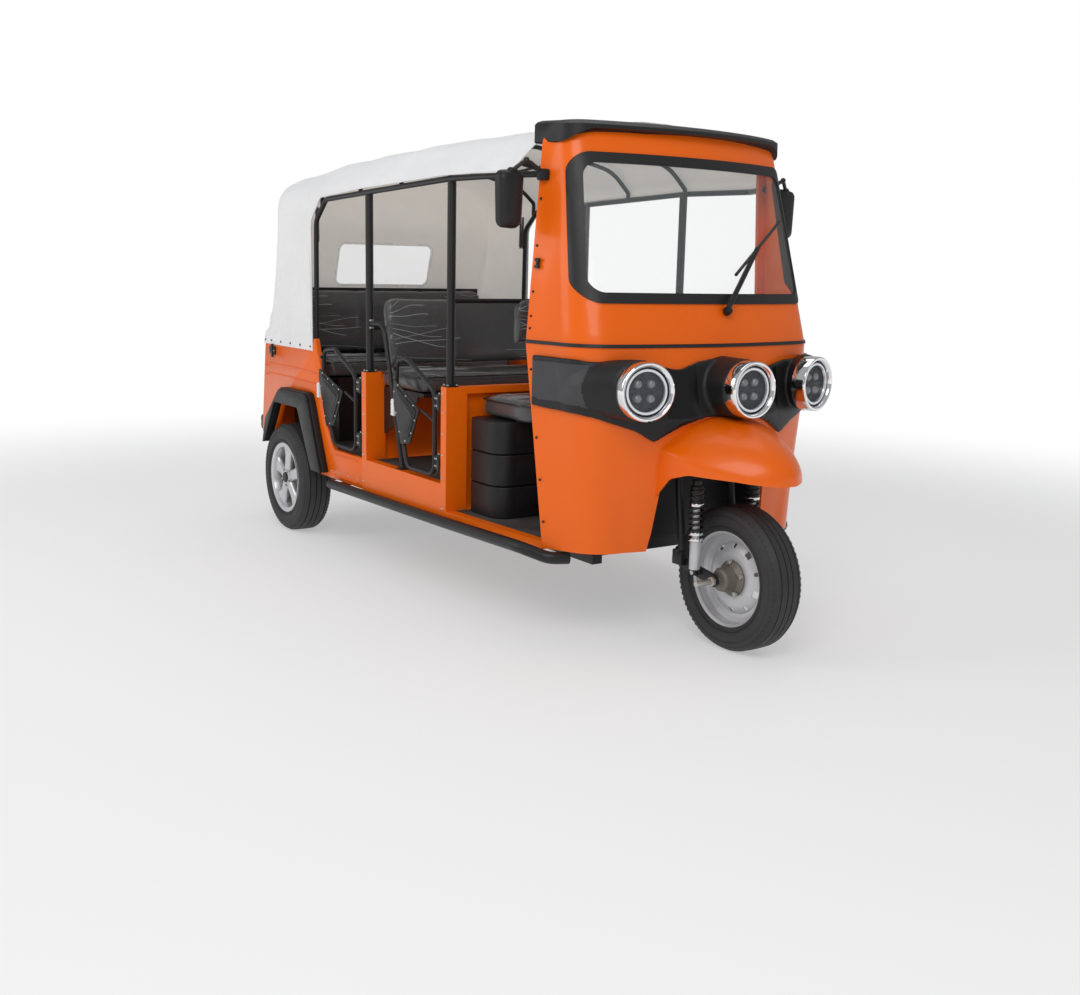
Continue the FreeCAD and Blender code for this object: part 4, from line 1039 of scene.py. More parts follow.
@dataclass
class Cover:
    """White cloth cover over the roof, rear quarters and back.

    Attributes:
        half: Half width of the cover.
        hem: Height of its lower edge.
        front: Place of its front edge.
        cloth: Thickness of the cloth.
        sag: Depth by which it hangs between two hoops.
    """

    half: float = 576.0
    hem: float = 870.0
    front: float = -789.0
    cloth: float = 3.0
    sag: float = 7.0

    def arch(self, y: float) -> list[Vector]:
        """Draws the line over the roof at one place along the vehicle, from hem to hem.

        Args:
            y: The place.

        Returns:
            Its points.
        """
        _, shoulder, knee, crown = between(ARCHES, y)
        half = self.half
        points = [(-half, y, self.hem), (-half, y, shoulder), (-470, y, knee), (0, y, crown),
                  (470, y, knee), (half, y, shoulder), (half, y, self.hem)]
        return rounded(points, [0, 60, 200, 1000, 200, 60, 0])

    def spaced(self, line: Sequence[Vector], count: int) -> list[Vector]:
        """Spreads points at even distances along a line.

        Args:
            line: Points of the line.
            count: Number of steps.

        Returns:
            The count + 1 points.
        """
        lengths = [0.0]
        for a, b in zip(line, line[1:]):
            lengths.append(lengths[-1] + (b - a).length)
        points, k = [], 0
        for index in range(count + 1):
            target = lengths[-1] * index / count
            while k < len(line) - 2 and lengths[k + 1] < target:
                k += 1
            share = (target - lengths[k]) / max(1e-6, lengths[k + 1] - lengths[k])
            points.append(line[k].lerp(line[k + 1], min(1, share)))
        return points

    def back_y(self, z: float) -> float:
        """Returns where the back of the cover is at a height."""
        return between(BACK, z)[1]

    def hang(self, point: Vector) -> Vector:
        """Moves a point of the cover by the cloth's sag and folds.

        Args:
            point: Point of the smooth cover.

        Returns:
            The moved point.
        """
        x, y, z = point
        moved = point.copy()
        if z > 1600:
            spans = [self.front] + [hoop[0] for hoop in HOOPS] + [1262.0]
            for low, high in zip(spans, spans[1:]):
                if low <= y <= high:
                    share = (y - low) / (high - low)
                    moved.z -= self.sag * math.sin(math.pi * share) * min(1.0, (high - low) / 400)
        fold = 2.6 * math.sin(y / 61 + 1.7 * math.sin(z / 190)) + 1.8 * math.sin(z / 47 + y / 130)
        if z < 1580 and y < self.back_y(z) - 40:
            moved.x -= math.copysign(1.6 + 0.6 * fold, x) * min(1.0, (z - self.hem) / 120)
        elif y >= self.back_y(z) - 40:
            pull = 2.5 + 1.4 * math.sin(x / 90 + z / 210) + 1.0 * math.sin(z / 70)
            moved.y += 2.5 - (2.5 + pull) * min(1.0, max(0.0, z - self.hem - 40) / 120)
        return moved

    def build(self) -> None:
        """Makes the cover, its seams and buttons and the rear window."""
        stations = [self.front + (1262 - self.front) * k / 56 for k in range(57)]
        rings = [self.spaced(self.arch(y), 96) for y in stations]
        slant = []
        for k in (0.25, 0.5, 0.75, 1.0):
            ring = []
            for point in rings[-1]:
                moved = point.copy()
                moved.y += (self.back_y(point.z) - point.y) * k
                ring.append(moved)
            slant.append(ring)
        part = sweep(rings + slant, False)
        self.close_back(part, slant[-1])
        bmesh.ops.recalc_face_normals(part, faces=part.faces)
        edge = [v for v in part.verts if v.co.z > self.hem + 75 and abs(v.co.y - self.back_y(v.co.z)) < 34
                and (abs(v.co.x) > self.half - 34 or v.co.z > 1600)]
        for _ in range(9):
            bmesh.ops.smooth_vert(part, verts=edge, factor=0.5, use_axis_x=True, use_axis_y=True,
                                  use_axis_z=True)
        for vertex in part.verts:
            vertex.co = self.hang(vertex.co)
        piece = Form("cloth_canopy").add(part, CANVAS).piece("cloth_cover", crease=80)
        # The inner face gets the faintly glowing lining: painted light inside the cover.
        piece.data.materials.append(GLOWING_LINING.material())
        thick = piece.modifiers.new("thick", "SOLIDIFY")
        thick.thickness, thick.offset, thick.material_offset = self.cloth * MM, -1.0, 1
        settle(piece, 60)
        side = [(-900, 500), (876, 500), (876, 1440, 60), (772, 1537, 60), (355, 1560, 300),
                (-317, 1578, 300), (-900, 1560)]
        carve(piece, Form("sides").slab("x", side, -700, 700, CANVAS), crease=60)
        window = oblong((-250, 250), (1160, 1350), 30)
        carve(piece, Form("window").slab("y", window, 1150, 1600, CANVAS), crease=60)
        self.trim()

    def close_back(self, part: bmesh.types.BMesh, rim: Sequence[Vector]) -> None:
        """Fills the back between the two sides of the last ring, with even rows.

        Args:
            part: Mesh of the cover.
            rim: Points of its last ring.
        """
        part.verts.ensure_lookup_table()
        found = {tuple(round(c, 3) for c in v.co): v for v in part.verts}
        ring = [found[tuple(round(c, 3) for c in point)] for point in rim]
        rows = len(ring) // 2 - 16
        grid = [[ring[k]] for k in range(rows + 1)]
        columns = len(ring) - 1 - 2 * rows
        for k in range(rows):
            low, high = ring[k], ring[-1 - k]
            for c in range(1, columns):
                co = low.co.lerp(high.co, c / columns)
                top = ring[rows + c].co
                co.z += (top.z - ring[rows].co.z) * max(0.0, (k / rows)) ** 6
                co.y = self.back_y(co.z)
                grid[k].append(part.verts.new(co))
            grid[k].append(high)
        grid[rows] = ring[rows:len(ring) - rows]
        for low, high in zip(grid, grid[1:]):
            for a, b, c, d in zip(low, low[1:], high[1:], high):
                part.faces.new((a, b, c, d))

    def trim(self) -> None:
        """Makes the window film, its welt, seam bands, hem buttons and edge binding."""
        film = oblong((-262, 262), (1148, 1362), 36)
        rings = []
        for z in [1148 + 214 * k / 12 for k in range(13)]:
            y = self.back_y(z) - 7.0
            line = [Vector((-262 + 524 * k / 20, y + 1.2 * math.sin(k * 0.9 + z / 30), z)) for k in range(21)]
            rings.append(line + [p + Vector((0, 1.2, 0)) for p in reversed(line)])
        pane = Form("rear_window_film").skin(rings, FILM).piece("rear_window")
        carve(pane, Form("window").slab("y", film, 1150, 1600, FILM), "INTERSECT")
        seams = Form("cover_seams")
        welt = [(x, self.back_y(z) + 0.5, z) for x, z, _ in oblong((-256, 256), (1154, 1356), 30)]
        seams.tube(welt, [30] * 4, 3.2, CANVAS, closed=True)
        side = [(876, 868), (876, 1440), (772, 1537), (355, 1560), (-317, 1578), (-789, 1572)]
        for x in (-self.half + 1.5, self.half - 1.5):
            seams.tube([(x, y, z) for y, z in side], [0, 60, 60, 300, 300, 0], 3.4, CANVAS)
            seams.tube([(x * 1.001, 892, z) for z in (872, 1436, 1560)], [0] * 3, 1.5, CANVAS)
        for y in (-772, -560, 876, 1206):
            line = [self.hang(p) for p in self.spaced(self.arch(y), 60) if p.z > 1604]
            seams.tube(line, [0] * len(line), 1.7, CANVAS)
        seams.piece()
        buttons = Form("hem_buttons")
        for y in (895, 1010, 1125, 1240, 1355, 1430):
            for x in (-self.half, self.half):
                out = math.copysign(1, x)
                buttons.bar((x - out, y, 888), (x + out * 3, y, 888), 5.5, SATIN, tip=4, sides=16)
        for x in (-480, -240, 0, 240, 480):
            y = self.back_y(888)
            buttons.bar((x, y + 1, 888), (x, y + 5, 888), 5.5, SATIN, tip=4, sides=16)
        buttons.piece()


ROOF_RAIL = [(486, -850, 1560), (552, -700, 1560), (552, -317, 1566), (552, 355, 1543),
             (552, 760, 1528), (552, 868, 1440), (552, 876, 900)]
# Posts: y, top and foot
POSTS = ((-317, 1566, 817), (355, 1543, 817))
STEP = [(-600, 640, 303), (-600, -377, 319), (-600, -880, 331), (-545, -985, 306), (-478, -1003, 303)]


@dataclass
class Tubes:
    """Roof frame, posts, bars, grab rails and side steps.

    Attributes:
        rail: Radius of the roof rail.
        post: Radius of a post.
        x: Place of the posts.
    """

    rail: float = 11.0
    post: float = 16.0
    x: float = 545.0

    def build(self) -> None:
        """Makes the roof frame, the posts and the steps."""
        roof = Form("roof_tubes")
        roof.tube(ROOF_RAIL, [0, 60, 60, 60, 60, 60, 0], self.rail, SATIN)
        roof.mirror()
        for y, low in HOOPS:
            foot, knee, crown = self.hoop(y)
            points = [(-552, y, low), (-552, y, foot), (-462, y, knee), (0, y, crown),
                      (462, y, knee), (552, y, foot), (552, y, low)]
            roof.tube(points, [0, 20, 200, 1000, 200, 20, 0], 9, SATIN)
        for x in (-300, 0, 300):
            points = [(x, y, self.hoop(y)[2] - 10 - abs(x) * 0.17) for y, _ in HOOPS]
            roof.tube(points, [0] * 4, 6, SATIN)
        roof.piece("roof_frame")
        self.posts()
        self.steps()

    def hoop(self, y: float) -> tuple[float, float, float]:
        """Returns the heights of a hoop's bend, knee and crown under the cover.

        Args:
            y: Place of the hoop.

        Returns:
            The three heights.
        """
        _, shoulder, knee, crown = between(ARCHES, y)
        drop = 8 if y > 700 else 0
        return shoulder - 6 - drop, knee - 30 - drop, crown - 30 - drop

    def posts(self) -> None:
        """Makes the posts on their feet, the cross bars and the grab rails."""
        form = Form("post_tubes")
        for y, top, low in POSTS:
            for x in (-self.x, self.x):
                form.bar((x, y, low), (x, y, top), self.post, SATIN, sides=28)
                form.slab("z", oblong((x - 26, x + 26), (y - 20, y + 20), 6), low, low + 5, SATIN, 1)
                for a, b in ((-19, -13), (19, -13), (-19, 13), (19, 13)):
                    form.bar((x + a, y + b, low + 4), (x + a, y + b, low + 9), 4.5, ZINC, sides=6)
        for y, z in ((-317, 1132), (355, 1000)):
            form.tube([(-self.x, y, z), (self.x, y, z)], [0, 0], 9, SATIN)
        for x in (-self.x, self.x):
            form.tube([(x, 355, 1016), (x, 228, 1022), (x, 64, 451)], [0, 60, 0], 9, SATIN)
            for z in (1000, 1030):
                form.box((x - 8, x + 8), (334, 376), (z - 4, z + 4), ZINC, 2)
            form.slab("z", oblong((x - 20, x + 20), (44, 84), 5), 451, 455, SATIN, 1)
        form.piece("side_posts")

    def steps(self) -> None:
        """Makes the tubular side steps with their brackets and end caps."""
        form = Form("step_tubes")
        form.tube(STEP, [0, 0, 90, 60, 0], 21, SATIN, sides=6)
        for y, top in ((560, 320), (40, 320), (-420, 325)):
            form.box((-602, -536), (y - 18, y + 18), (top - 13, top), SATIN, 2)
            form.bar((-552, y, top - 20), (-552, y, top - 12), 7, ZINC, sides=6)
        form.bar((-600, 640, 303), (-600, 646, 303), 21, RUBBER, tip=17, sides=28)
        form.mirror().piece("side_steps")


DOOR_TUBES = {"middle": [(-247, 476, 45), (-247, 795, 60), (-20, 902, 50), (64, 885, 40), (64, 725, 60),
                         (-28, 476, 50)],
              "rear": [(437, 476, 45), (437, 795, 60), (640, 893, 50), (762, 880, 45), (762, 770, 60),
                       (664, 476, 50)]}
DOOR_PANELS = {"middle": [(74, 820, 8), (-140, 714, 8), (-132, 698, 8), (-67, 576, 14), (12, 560, 14),
                          (74, 723, 8)],
               "rear": [(790, 800, 8), (546, 718, 8), (556, 700, 8), (640, 560, 14), (722, 548, 14),
                        (796, 760, 8)]}
DOOR_BRACES = {"middle": ((-140, 712), (-247, 678)), "rear": ((546, 716), (437, 682))}
DOOR_PINS = {"middle": -284.0, "rear": 388.0}
DOOR_BODIES = {("middle", -1): Body.MIDDLE_DOOR_RIGHT, ("middle", 1): Body.MIDDLE_DOOR_LEFT,
               ("rear", -1): Body.REAR_DOOR_RIGHT, ("rear", 1): Body.REAR_DOOR_LEFT}


@dataclass
class Doors:
    """Four half doors of bent tube with a pressed panel.

    Attributes:
        tube: Radius of the door tube.
        x: Place of the tube.
        hinge: Place of the hinge pin across the vehicle.
        panel: Where the panel lies across the vehicle.
    """

    tube: float = 9.0
    x: float = 571.0
    hinge: float = 573.0
    panel: tuple[float, float] = (577.0, 582.0)

    def build(self) -> None:
        """Makes each door on its own body."""
        for (row, side), body in DOOR_BODIES.items():
            self.door(row, side, body)

    def door(self, row: str, side: int, body: Body) -> None:
        """Makes one door.

        Args:
            row: Row of the cabin it serves.
            side: -1 for the right-hand side, 1 for the left.
            body: CAD body it rides on.
        """
        which = "right" if side < 0 else "left"
        form = Form(f"{row}_door_{which}_dress")
        tubes = DOOR_TUBES[row]
        x = side * self.x
        form.tube([(x, y, z) for y, z, _ in tubes], [b for *_, b in tubes], self.tube, SATIN, True, 5)
        a, b = DOOR_BRACES[row]
        form.bar((x, *a), (x, *b), 5, SATIN, sides=16)
        self.plate(form, DOOR_PANELS[row], side)
        pin, x = DOOR_PINS[row], side * self.hinge
        for z in (496, 724):
            form.bar((x, pin, z), (x, pin, z + 64), 6.4, SATIN, sides=20, bevel=1)
            form.bar((x, pin, z + 64), (x, pin, z + 69), 4, ZINC, tip=3, sides=16)
            form.box((x - 2, x + 2), (pin, tubes[0][0] - 5), (z + 4, z + 60), SATIN, 1)
            for y in (pin + 15, pin + 26):
                for bolt in (z + 18, z + 46):
                    form.bar((x + side, y, bolt), (x + side * 4.5, y, bolt), 4, ZINC, sides=6)
        self.latch(form, row, side)
        form.piece(f"{row}_door_{which}", body=body)

    def plate(self, form: Form, outline: Sequence[Point], side: int) -> None:
        """Adds a door's plate with its pressed field and the screws along its rim.

        Args:
            form: Form of the door.
            outline: Corners (y, z, bend) of the plate.
            side: -1 for the right-hand side, 1 for the left.
        """
        face = self.panel[1]
        form.slab("x", outline, *span(side, *self.panel), MOULDED, 1.2)
        centre = sum((Vector(corner[:2]) for corner in outline), Vector((0, 0))) / len(outline)
        for share, low, high in ((0.80, 0, 3.0), (0.62, 2.5, 1.2)):
            field = [(*((Vector(corner[:2]) - centre) * share + centre), 14) for corner in outline]
            form.slab("x", field, *span(side, face + low - 1, face + low + high), MOULDED, 1.4)
        x = side * face
        for first, second in zip(outline, outline[1:] + outline[:1]):
            a, b = Vector(first[:2]), Vector(second[:2])
            count = int((b - a).length // 62)
            for k in range(count):
                spot = a.lerp(b, (k + 0.5) / count)
                spot += (centre - spot).normalized() * 11
                form.bar((x - side, *spot), (x + side * 2.2, *spot), 4.2, ZINC, tip=3, sides=12)

    def latch(self, form: Form, row: str, side: int) -> None:
        """Adds the latch with its film wrap at a door's rear end.

        Args:
            form: Form of the door.
            row: Row of the cabin it serves.
            side: -1 for the right-hand side, 1 for the left.
        """
        y, z = (80, 700) if row == "middle" else (802, 700)
        low, high = span(side, self.x - 7, self.x + 14)
        form.box((low, high), (y - 12, y + 12), (z - 34, z + 34), TAPE, 5)
        for k in range(4):
            foot = z - 30 + 15 * k
            form.box((low - 1, high + 1), (y - 13 + k % 2, y + 12), (foot, foot + 8), TAPE, 3)
        a, b, _ = DOOR_TUBES[row][3]
        x = side * (self.x + 6)
        form.bar((x, a, b - 30), (x + side * 10, a, b - 30), 7, SATIN, sides=16, bevel=1)


@dataclass
class Mirrors:
    """Side mirrors on arms under the visor.

    Attributes:
        inner: Inner edge of a housing.
        outer: Outer edge of a housing.
        low: Lower edge of a housing.
        high: Upper edge of a housing.
        front: Place of the back of a housing, towards the front.
        rear: Place of its rim, towards the driver.
    """

    inner: float = 566.0
    outer: float = 665.0
    low: float = 1380.0
    high: float = 1574.0
    front: float = -840.0
    rear: float = -800.0

    def outline(self, inset: float, y: float) -> list[Vector]:
        """Draws the rim of a housing at a depth.

        Args:
            inset: How much smaller it is on each side.
            y: Place of the depth.

        Returns:
            Its points.
        """
        a, b, c, d = self.inner + inset, self.outer - inset, self.low + inset, self.high - inset
        points = [(a + 8, y, c), (b - 6, y, c + 6), (b, y, d - 10), (a, y, d)]
        bend = max(6.0, 26.0 - inset * 0.6)
        return rounded(points, [bend] * 4, True, 15)

    def build(self) -> None:
        """Makes both mirrors."""
        form = Form("mirror_housings")
        depth = self.rear - self.front
        shell = [(30, 0), (14, 0.08), (5, 0.26), (1, 0.6), (0, 1.0), (5, 1.0), (6, 0.8)]
        rings = [self.outline(inset, self.front + depth * share) for inset, share in shell]
        form.skin(rings, MOULDED)
        glass = [self.outline(inset, self.rear + y) for inset, y in ((6.5, -9.5), (7.5, -7.5), (10, -7.2))]
        form.skin(glass, CHROME)
        x, z, back = (self.inner + self.outer) / 2, (self.low + self.high) / 2, self.front
        form.slab("y", oblong((x - 24, x + 24), (z - 62, z + 30), 16), back + 1, back + 3.5, MOULDED, 1.2)
        for rib in (z - 46, z - 26, z - 6, z + 14):
            form.box((x - 17, x + 17), (back - 0.5, back + 3), (rib - 3, rib + 3), MOULDED, 1.4)
        form.tube([(500, -848, 1556), (575, -848, 1600), (618, -822, 1560)], [0, 30, 0], 7, SATIN)
        form.ball((618, -822, 1562), 13, MOULDED)
        form.ball((575, -848, 1598), 10, RUBBER)
        form.box((494, 524), (-866, -830), (1538, 1574), MOULDED, 5)
        form.mirror().piece("side_mirrors", crease=40)


@dataclass
class Wiper:
    """Windscreen wiper with its arm and rubber blade.

    Attributes:
        pivot: Place of its spindle.
        elbow: End of its arm.
        low: Lower end of its blade.
        high: Upper end of its blade.
    """

    pivot: Point = (34.0, -1170.0, 1130.0)
    elbow: Point = (240.0, -1084.0, 1342.0)
    low: Point = (97.0, -1130.0, 1248.0)
    high: Point = (382.0, -1034.0, 1436.0)

    def build(self) -> None:
        """Makes the wiper."""
        form = Form("wiper_arm")
        form.bar((34, -1178, 1134), (34, -1160, 1126), 13, MOULDED, tip=16, bevel=2)
        form.tube([self.pivot, (40, -1176, 1152), self.elbow], [0, 30, 0], 6.5, SATIN)
        form.tube([(26, -1168, 1132), (34, -1176, 1160), (228, -1086, 1342)], [0, 30, 0], 4.5, SATIN)
        low, high = Vector(self.low), Vector(self.high)
        back = (high - low).normalized()
        out = back.cross(Vector((1, 0, 0))).normalized() * -1
        for share, width in ((0.18, 7), (0.5, 10), (0.82, 7)):
            spot = low.lerp(high, share)
            form.bar(spot - back * 14, spot + back * 14, width * 0.5, SATIN, sides=12)
        form.bar(low, high, 5.5, SATIN, sides=8)
        form.bar(low + out * 4, high + out * 4, 4.0, RUBBER, sides=6)
        form.piece("windscreen_wiper")


@dataclass(frozen=True)
class Pad:
    """One cushion.

    Attributes:
        node: CAD node it replaces.
        name: Name of the new piece.
        half: Half width.
        section: Corners (y, z, bend) of its section.
        cell: Voxel of the remesh.
        cap: Furthest that the swell moves a point.
        fill: How tight the pad is; not used.
        stitches: Places of its cross seams.
    """

    node: str
    name: str
    half: float
    section: tuple[tuple[float, float, float], ...]
    cell: float
    cap: float
    fill: float
    stitches: tuple[float, ...]

    def reach(self) -> tuple[list[float], list[float]]:
        """Returns the least and the greatest (y, z) of its section."""
        pairs = [[corner[k] for corner in self.section] for k in (0, 1)]
        return [min(pair) for pair in pairs], [max(pair) for pair in pairs]

    def middle(self) -> tuple[float, float]:
        """Returns the mean (y, z) of its section's corners."""
        return sum(p[0] for p in self.section) / 4, sum(p[1] for p in self.section) / 4

    def upright(self) -> bool:
        """Returns whether it is a backrest."""
        lows, highs = self.reach()
        return highs[1] - lows[1] > highs[0] - lows[0]


PADS = [
    Pad("driver_cushion", "driver_seat_pad", 440,
        ((-660, 706, 8), (-342, 706, 8), (-342, 788, 26), (-660, 788, 34)), 12, 9, 0.7, (-150, 150)),
    Pad("driver_backrest", "driver_back_pad", 300,
        ((-372, 965, 18), (-326, 965, 8), (-326, 1150, 16), (-372, 1150, 20)), 10, 7, 0.65, ()),
    Pad("middle_cushion", "middle_seat_pad", 525,
        ((-30, 758, 8), (334, 758, 8), (334, 838, 24), (-30, 838, 34)), 13, 10, 0.7, (-175, 175)),
    Pad("middle_backrest", "middle_back_pad", 505,
        ((262, 834, 20), (314, 833, 6), (370, 1130, 16), (304, 1134, 24)), 12, 8, 0.65, (-170, 170)),
    Pad("rear_cushion", "rear_seat_pad", 520,
        ((862, 744, 8), (1290, 744, 8), (1290, 830, 20), (862, 830, 36)), 13, 10, 0.7, (-175, 175)),
    Pad("rear_backrest", "rear_back_pad", 535,
        ((1218, 822, 22), (1290, 822, 6), (1290, 1146, 16), (1218, 1146, 28)), 13, 9, 0.65, (-178, 178)),
]


@dataclass
class Seats:
    """Six padded cushions with piping, seams and clear wrap, and the box under the driver.

    Attributes:
        shrink: Amount by which a pad starts smaller than its place.
        pressure: Air pressure of the swell.
        frames: Frames for which it swells.
        cord: Radius of the piping.
        corner: Radius of a pad's corners.
        channel: Depth of a sewn channel.
    """

    shrink: float = 8.0
    pressure: float = 4.0
    frames: int = 20
    cord: float = 3.2
    corner: float = 62.0
    channel: float = 5.0

    def build(self) -> None:
        """Makes every pad and what goes with it."""
        for pad in PADS:
            self.pad(pad)
        self.piping()
        self.battery_box()

    def pad(self, pad: Pad) -> None:
        """Makes one pad by swelling a slightly smaller block.

        Args:
            pad: Its measures.
        """
        centre_y, centre_z = pad.middle()
        inner = [(y + math.copysign(self.shrink, centre_y - y), z + math.copysign(self.shrink, centre_z - z),
                  max(6, bend - 2)) for y, z, bend in pad.section]
        form = Form(pad.name)
        form.slab("x", inner, self.shrink - pad.half, pad.half - self.shrink, VINYL, 12, 3)
        piece = form.piece(pad.node, crease=70)
        melt = piece.modifiers.new("melt", "REMESH")
        melt.mode, melt.voxel_size = "VOXEL", pad.cell * MM
        settle(piece, 70)
        self.corners(piece, pad)
        calm = piece.modifiers.new("calm", "SMOOTH")
        calm.factor, calm.iterations = 0.5, 3
        settle(piece, 70)
        self.channels(piece, pad)
        self.swell(piece, pad)
        self.limit(piece, pad)
        round_off = piece.modifiers.new("round", "SUBSURF")
        round_off.levels = round_off.render_levels = 1
        settle(piece, 70)
        piece.data.materials.clear()
        piece.data.materials.append(VINYL.material())
        self.wrap(piece, pad)
        self.paint_crease_highlights(piece, pad)

    def paint_crease_highlights(self, piece: bpy.types.Object, pad: Pad) -> None:
        """Lays pale lines along the folds of the wrap on a pad's face, from both ends inwards: painted
        highlight where the wrap is creased.

        Args:
            piece: The pad.
            pad: Its measures.
        """
        mesh = piece.data
        faces = [face.vertices[:] for face in mesh.polygons]
        tree = BVHTree.FromPolygons([vertex.co / MM for vertex in mesh.vertices], faces)
        lows, highs = pad.reach()
        upright = pad.upright()
        low, high = (lows[1], highs[1]) if upright else (lows[0], highs[0])
        look = Vector((0, 1, 0)) if upright else Vector((0, 0, -1))
        form = Form(pad.name + "_crease_highlight_lines")
        for k in range(22):
            side = 1 if k % 2 else -1
            reach = pad.half * (0.22 + 0.62 * ((k * 0.618) % 1.0))
            begin = low + (high - low) * (0.10 + 0.80 * ((k * 0.382) % 1.0))
            drift = (high - low) * (0.55 * ((k * 0.271) % 1.0) - 0.27)
            line = []
            for step in range(15):
                share = step / 14
                x = side * (pad.half - 14 - reach * share)
                across = begin + drift * math.sin(1.5 * share) + 3 * math.sin(7 * share + k)
                across = max(low + 14, min(high - 14, across))
                start = Vector((x, lows[0] - 60, across)) if upright else Vector((x, across, highs[1] + 60))
                spot = tree.ray_cast(start, look)[0]
                if spot:
                    line.append(spot - look * 3.2)
            if len(line) > 3:
                # Each fold line is a thin pale tube: painted highlight on the wrap.
                form.tube(line, [0] * len(line), 0.5 + 0.7 * ((k * 0.451) % 1.0), CREASE_HIGHLIGHT, sides=1)
        form.piece()

    def corners(self, piece: bpy.types.Object, pad: Pad) -> None:
        """Rounds the corners of a pad as it is seen from the front or from above.

        Args:
            piece: The pad.
            pad: Its measures.
        """
        lows, highs = pad.reach()
        axis, end, sign = (2, highs[1], 1) if pad.upright() else (1, lows[0], -1)
        end -= sign * self.shrink
        for vertex in piece.data.vertices:
            out_x = abs(vertex.co.x) / MM - (pad.half - self.shrink - self.corner)
            out_end = sign * (vertex.co[axis] / MM - end) + self.corner
            reach = math.hypot(out_x, out_end)
            if out_x > 0 and out_end > 0 and reach > self.corner:
                share = self.corner / reach
                side = pad.half - self.shrink - self.corner + out_x * share
                vertex.co.x = math.copysign(side * MM, vertex.co.x)
                vertex.co[axis] = (end + sign * (out_end * share - self.corner)) * MM

    def channels(self, piece: bpy.types.Object, pad: Pad) -> None:
        """Presses the sewn channels into a pad.

        Args:
            piece: The pad.
            pad: Its measures.
        """
        middle = Vector((0, *pad.middle())) * MM
        for vertex in piece.data.vertices:
            x = vertex.co.x / MM
            for seam in pad.stitches:
                press = math.exp(-((x - seam) / 11) ** 2) * self.channel * MM
                inward = middle - vertex.co
                inward.x = 0
                vertex.co += inward.normalized() * press

    def swell(self, piece: bpy.types.Object, pad: Pad) -> None:
        """Fills a pad with air for some frames and keeps what came of it.

        Args:
            piece: The pad.
            pad: Its measures.
        """
        before = [vertex.co.copy() for vertex in piece.data.vertices]
        cloth = piece.modifiers.new("swell", "CLOTH")
        settings = cloth.settings
        settings.quality = 4
        settings.use_pressure = True
        settings.uniform_pressure_force = self.pressure
        settings.effector_weights.gravity = 0
        settings.tension_stiffness = settings.compression_stiffness = 18
        settings.bending_stiffness = 1.2
        cloth.point_cache.frame_end = self.frames
        for frame in range(1, self.frames + 1):
            bpy.context.scene.frame_set(frame)
        settle(piece, 70)
        bpy.context.scene.frame_set(1)
        for vertex, place_before in zip(piece.data.vertices, before):
            moved = vertex.co - place_before
            if moved.length > pad.cap * MM:
                vertex.co = place_before + moved.normalized() * pad.cap * MM

    def limit(self, piece: bpy.types.Object, pad: Pad) -> None:
        """Keeps a pad within the space of its CAD solid, where it rests and where it ends.

        Args:
            piece: The pad.
            pad: Its measures.
        """
        low, high = pad.reach()
        slant = abs(pad.section[0][0] - pad.section[3][0]) > 10
        for vertex in piece.data.vertices:
            x, y, z = (part / MM for part in vertex.co)
            x = max(-pad.half, min(pad.half, x))
            z = max(low[1] + 0.3, min(high[1] + 7, z))
            if not slant:
                y = max(low[0] - 3, min(high[0] - 0.3, y))
            vertex.co = (x * MM, y * MM, z * MM)

    def wrap(self, piece: bpy.types.Object, pad: Pad) -> None:
        """Adds the clear wrap as a creased skin just off the pad.

        Args:
            piece: The pad.
            pad: Its measures.
        """
        mesh = piece.data.copy()
        mesh.materials.clear()
        mesh.materials.append(WRAP.material())
        low = pad.reach()[0][1] + 1.0
        outwards = [normal.vector.copy() for normal in mesh.vertex_normals]
        for vertex, outward in zip(mesh.vertices, outwards):
            x, y, z = (part / MM for part in vertex.co)
            lift = 1.3 + 1.1 * abs(math.sin(x / 37 + 2 * math.sin(y / 60 + z / 45)))
            lift += 0.9 * abs(math.sin((y + z) / 23 + x / 90))
            vertex.co += outward * lift * MM
            vertex.co.z = max(vertex.co.z, low * MM)
        skin = put(pad.name + "_wrap", mesh)
        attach(skin, Body.VEHICLE.value)
        LOG.info("%s: wrap of %d faces", pad.name, len(mesh.polygons))

    def piping(self) -> None:
        """Makes the piping round the top of each seat."""
        form = Form("pad_piping")
        for pad in PADS:
            if not pad.upright():
                (low, _), (high, top) = pad.reach()
                corners = oblong((9 - pad.half, pad.half - 9), (low + 7, high - 9), 0)
                line = [(x, y, top - 15) for x, y, _ in corners]
                form.tube(line, [60, 60, 20, 20], self.cord, VINYL, True, 2)
        form.piece()

    def battery_box(self) -> None:
        """Makes the moulded box of three tiers under the driver's cushion."""
        form = Form("battery_box_shell")
        for low, high in ((351, 468), (472, 586), (590, 706)):
            outline = [(-490, -570, 70), (490, -570, 70), (490, -338, 60), (-490, -338, 60)]
            form.slab("z", outline, low, high, MOULDED, 4, 3)
        core = [(-478, -558, 64), (478, -558, 64), (478, -350, 54), (-478, -350, 54)]
        form.slab("z", core, 360, 698, MOULDED)
        for middle in (409.5, 529, 648):
            for x in (-300, 0, 300):
                field = oblong((x - 110, x + 110), (middle - 34, middle + 34), 14)
                form.slab("y", field, -570.5, -566, MOULDED, 1.5)
        form.piece("battery_box", crease=40)


# Rear spoke, from the hub outwards: reach, half width, outer and inner face
SPOKE = ((36, 27, 56, 36), (70, 25, 53, 30), (105, 29, 50, 30), (132, 40, 50, 34), (148, 52, 54, 38))


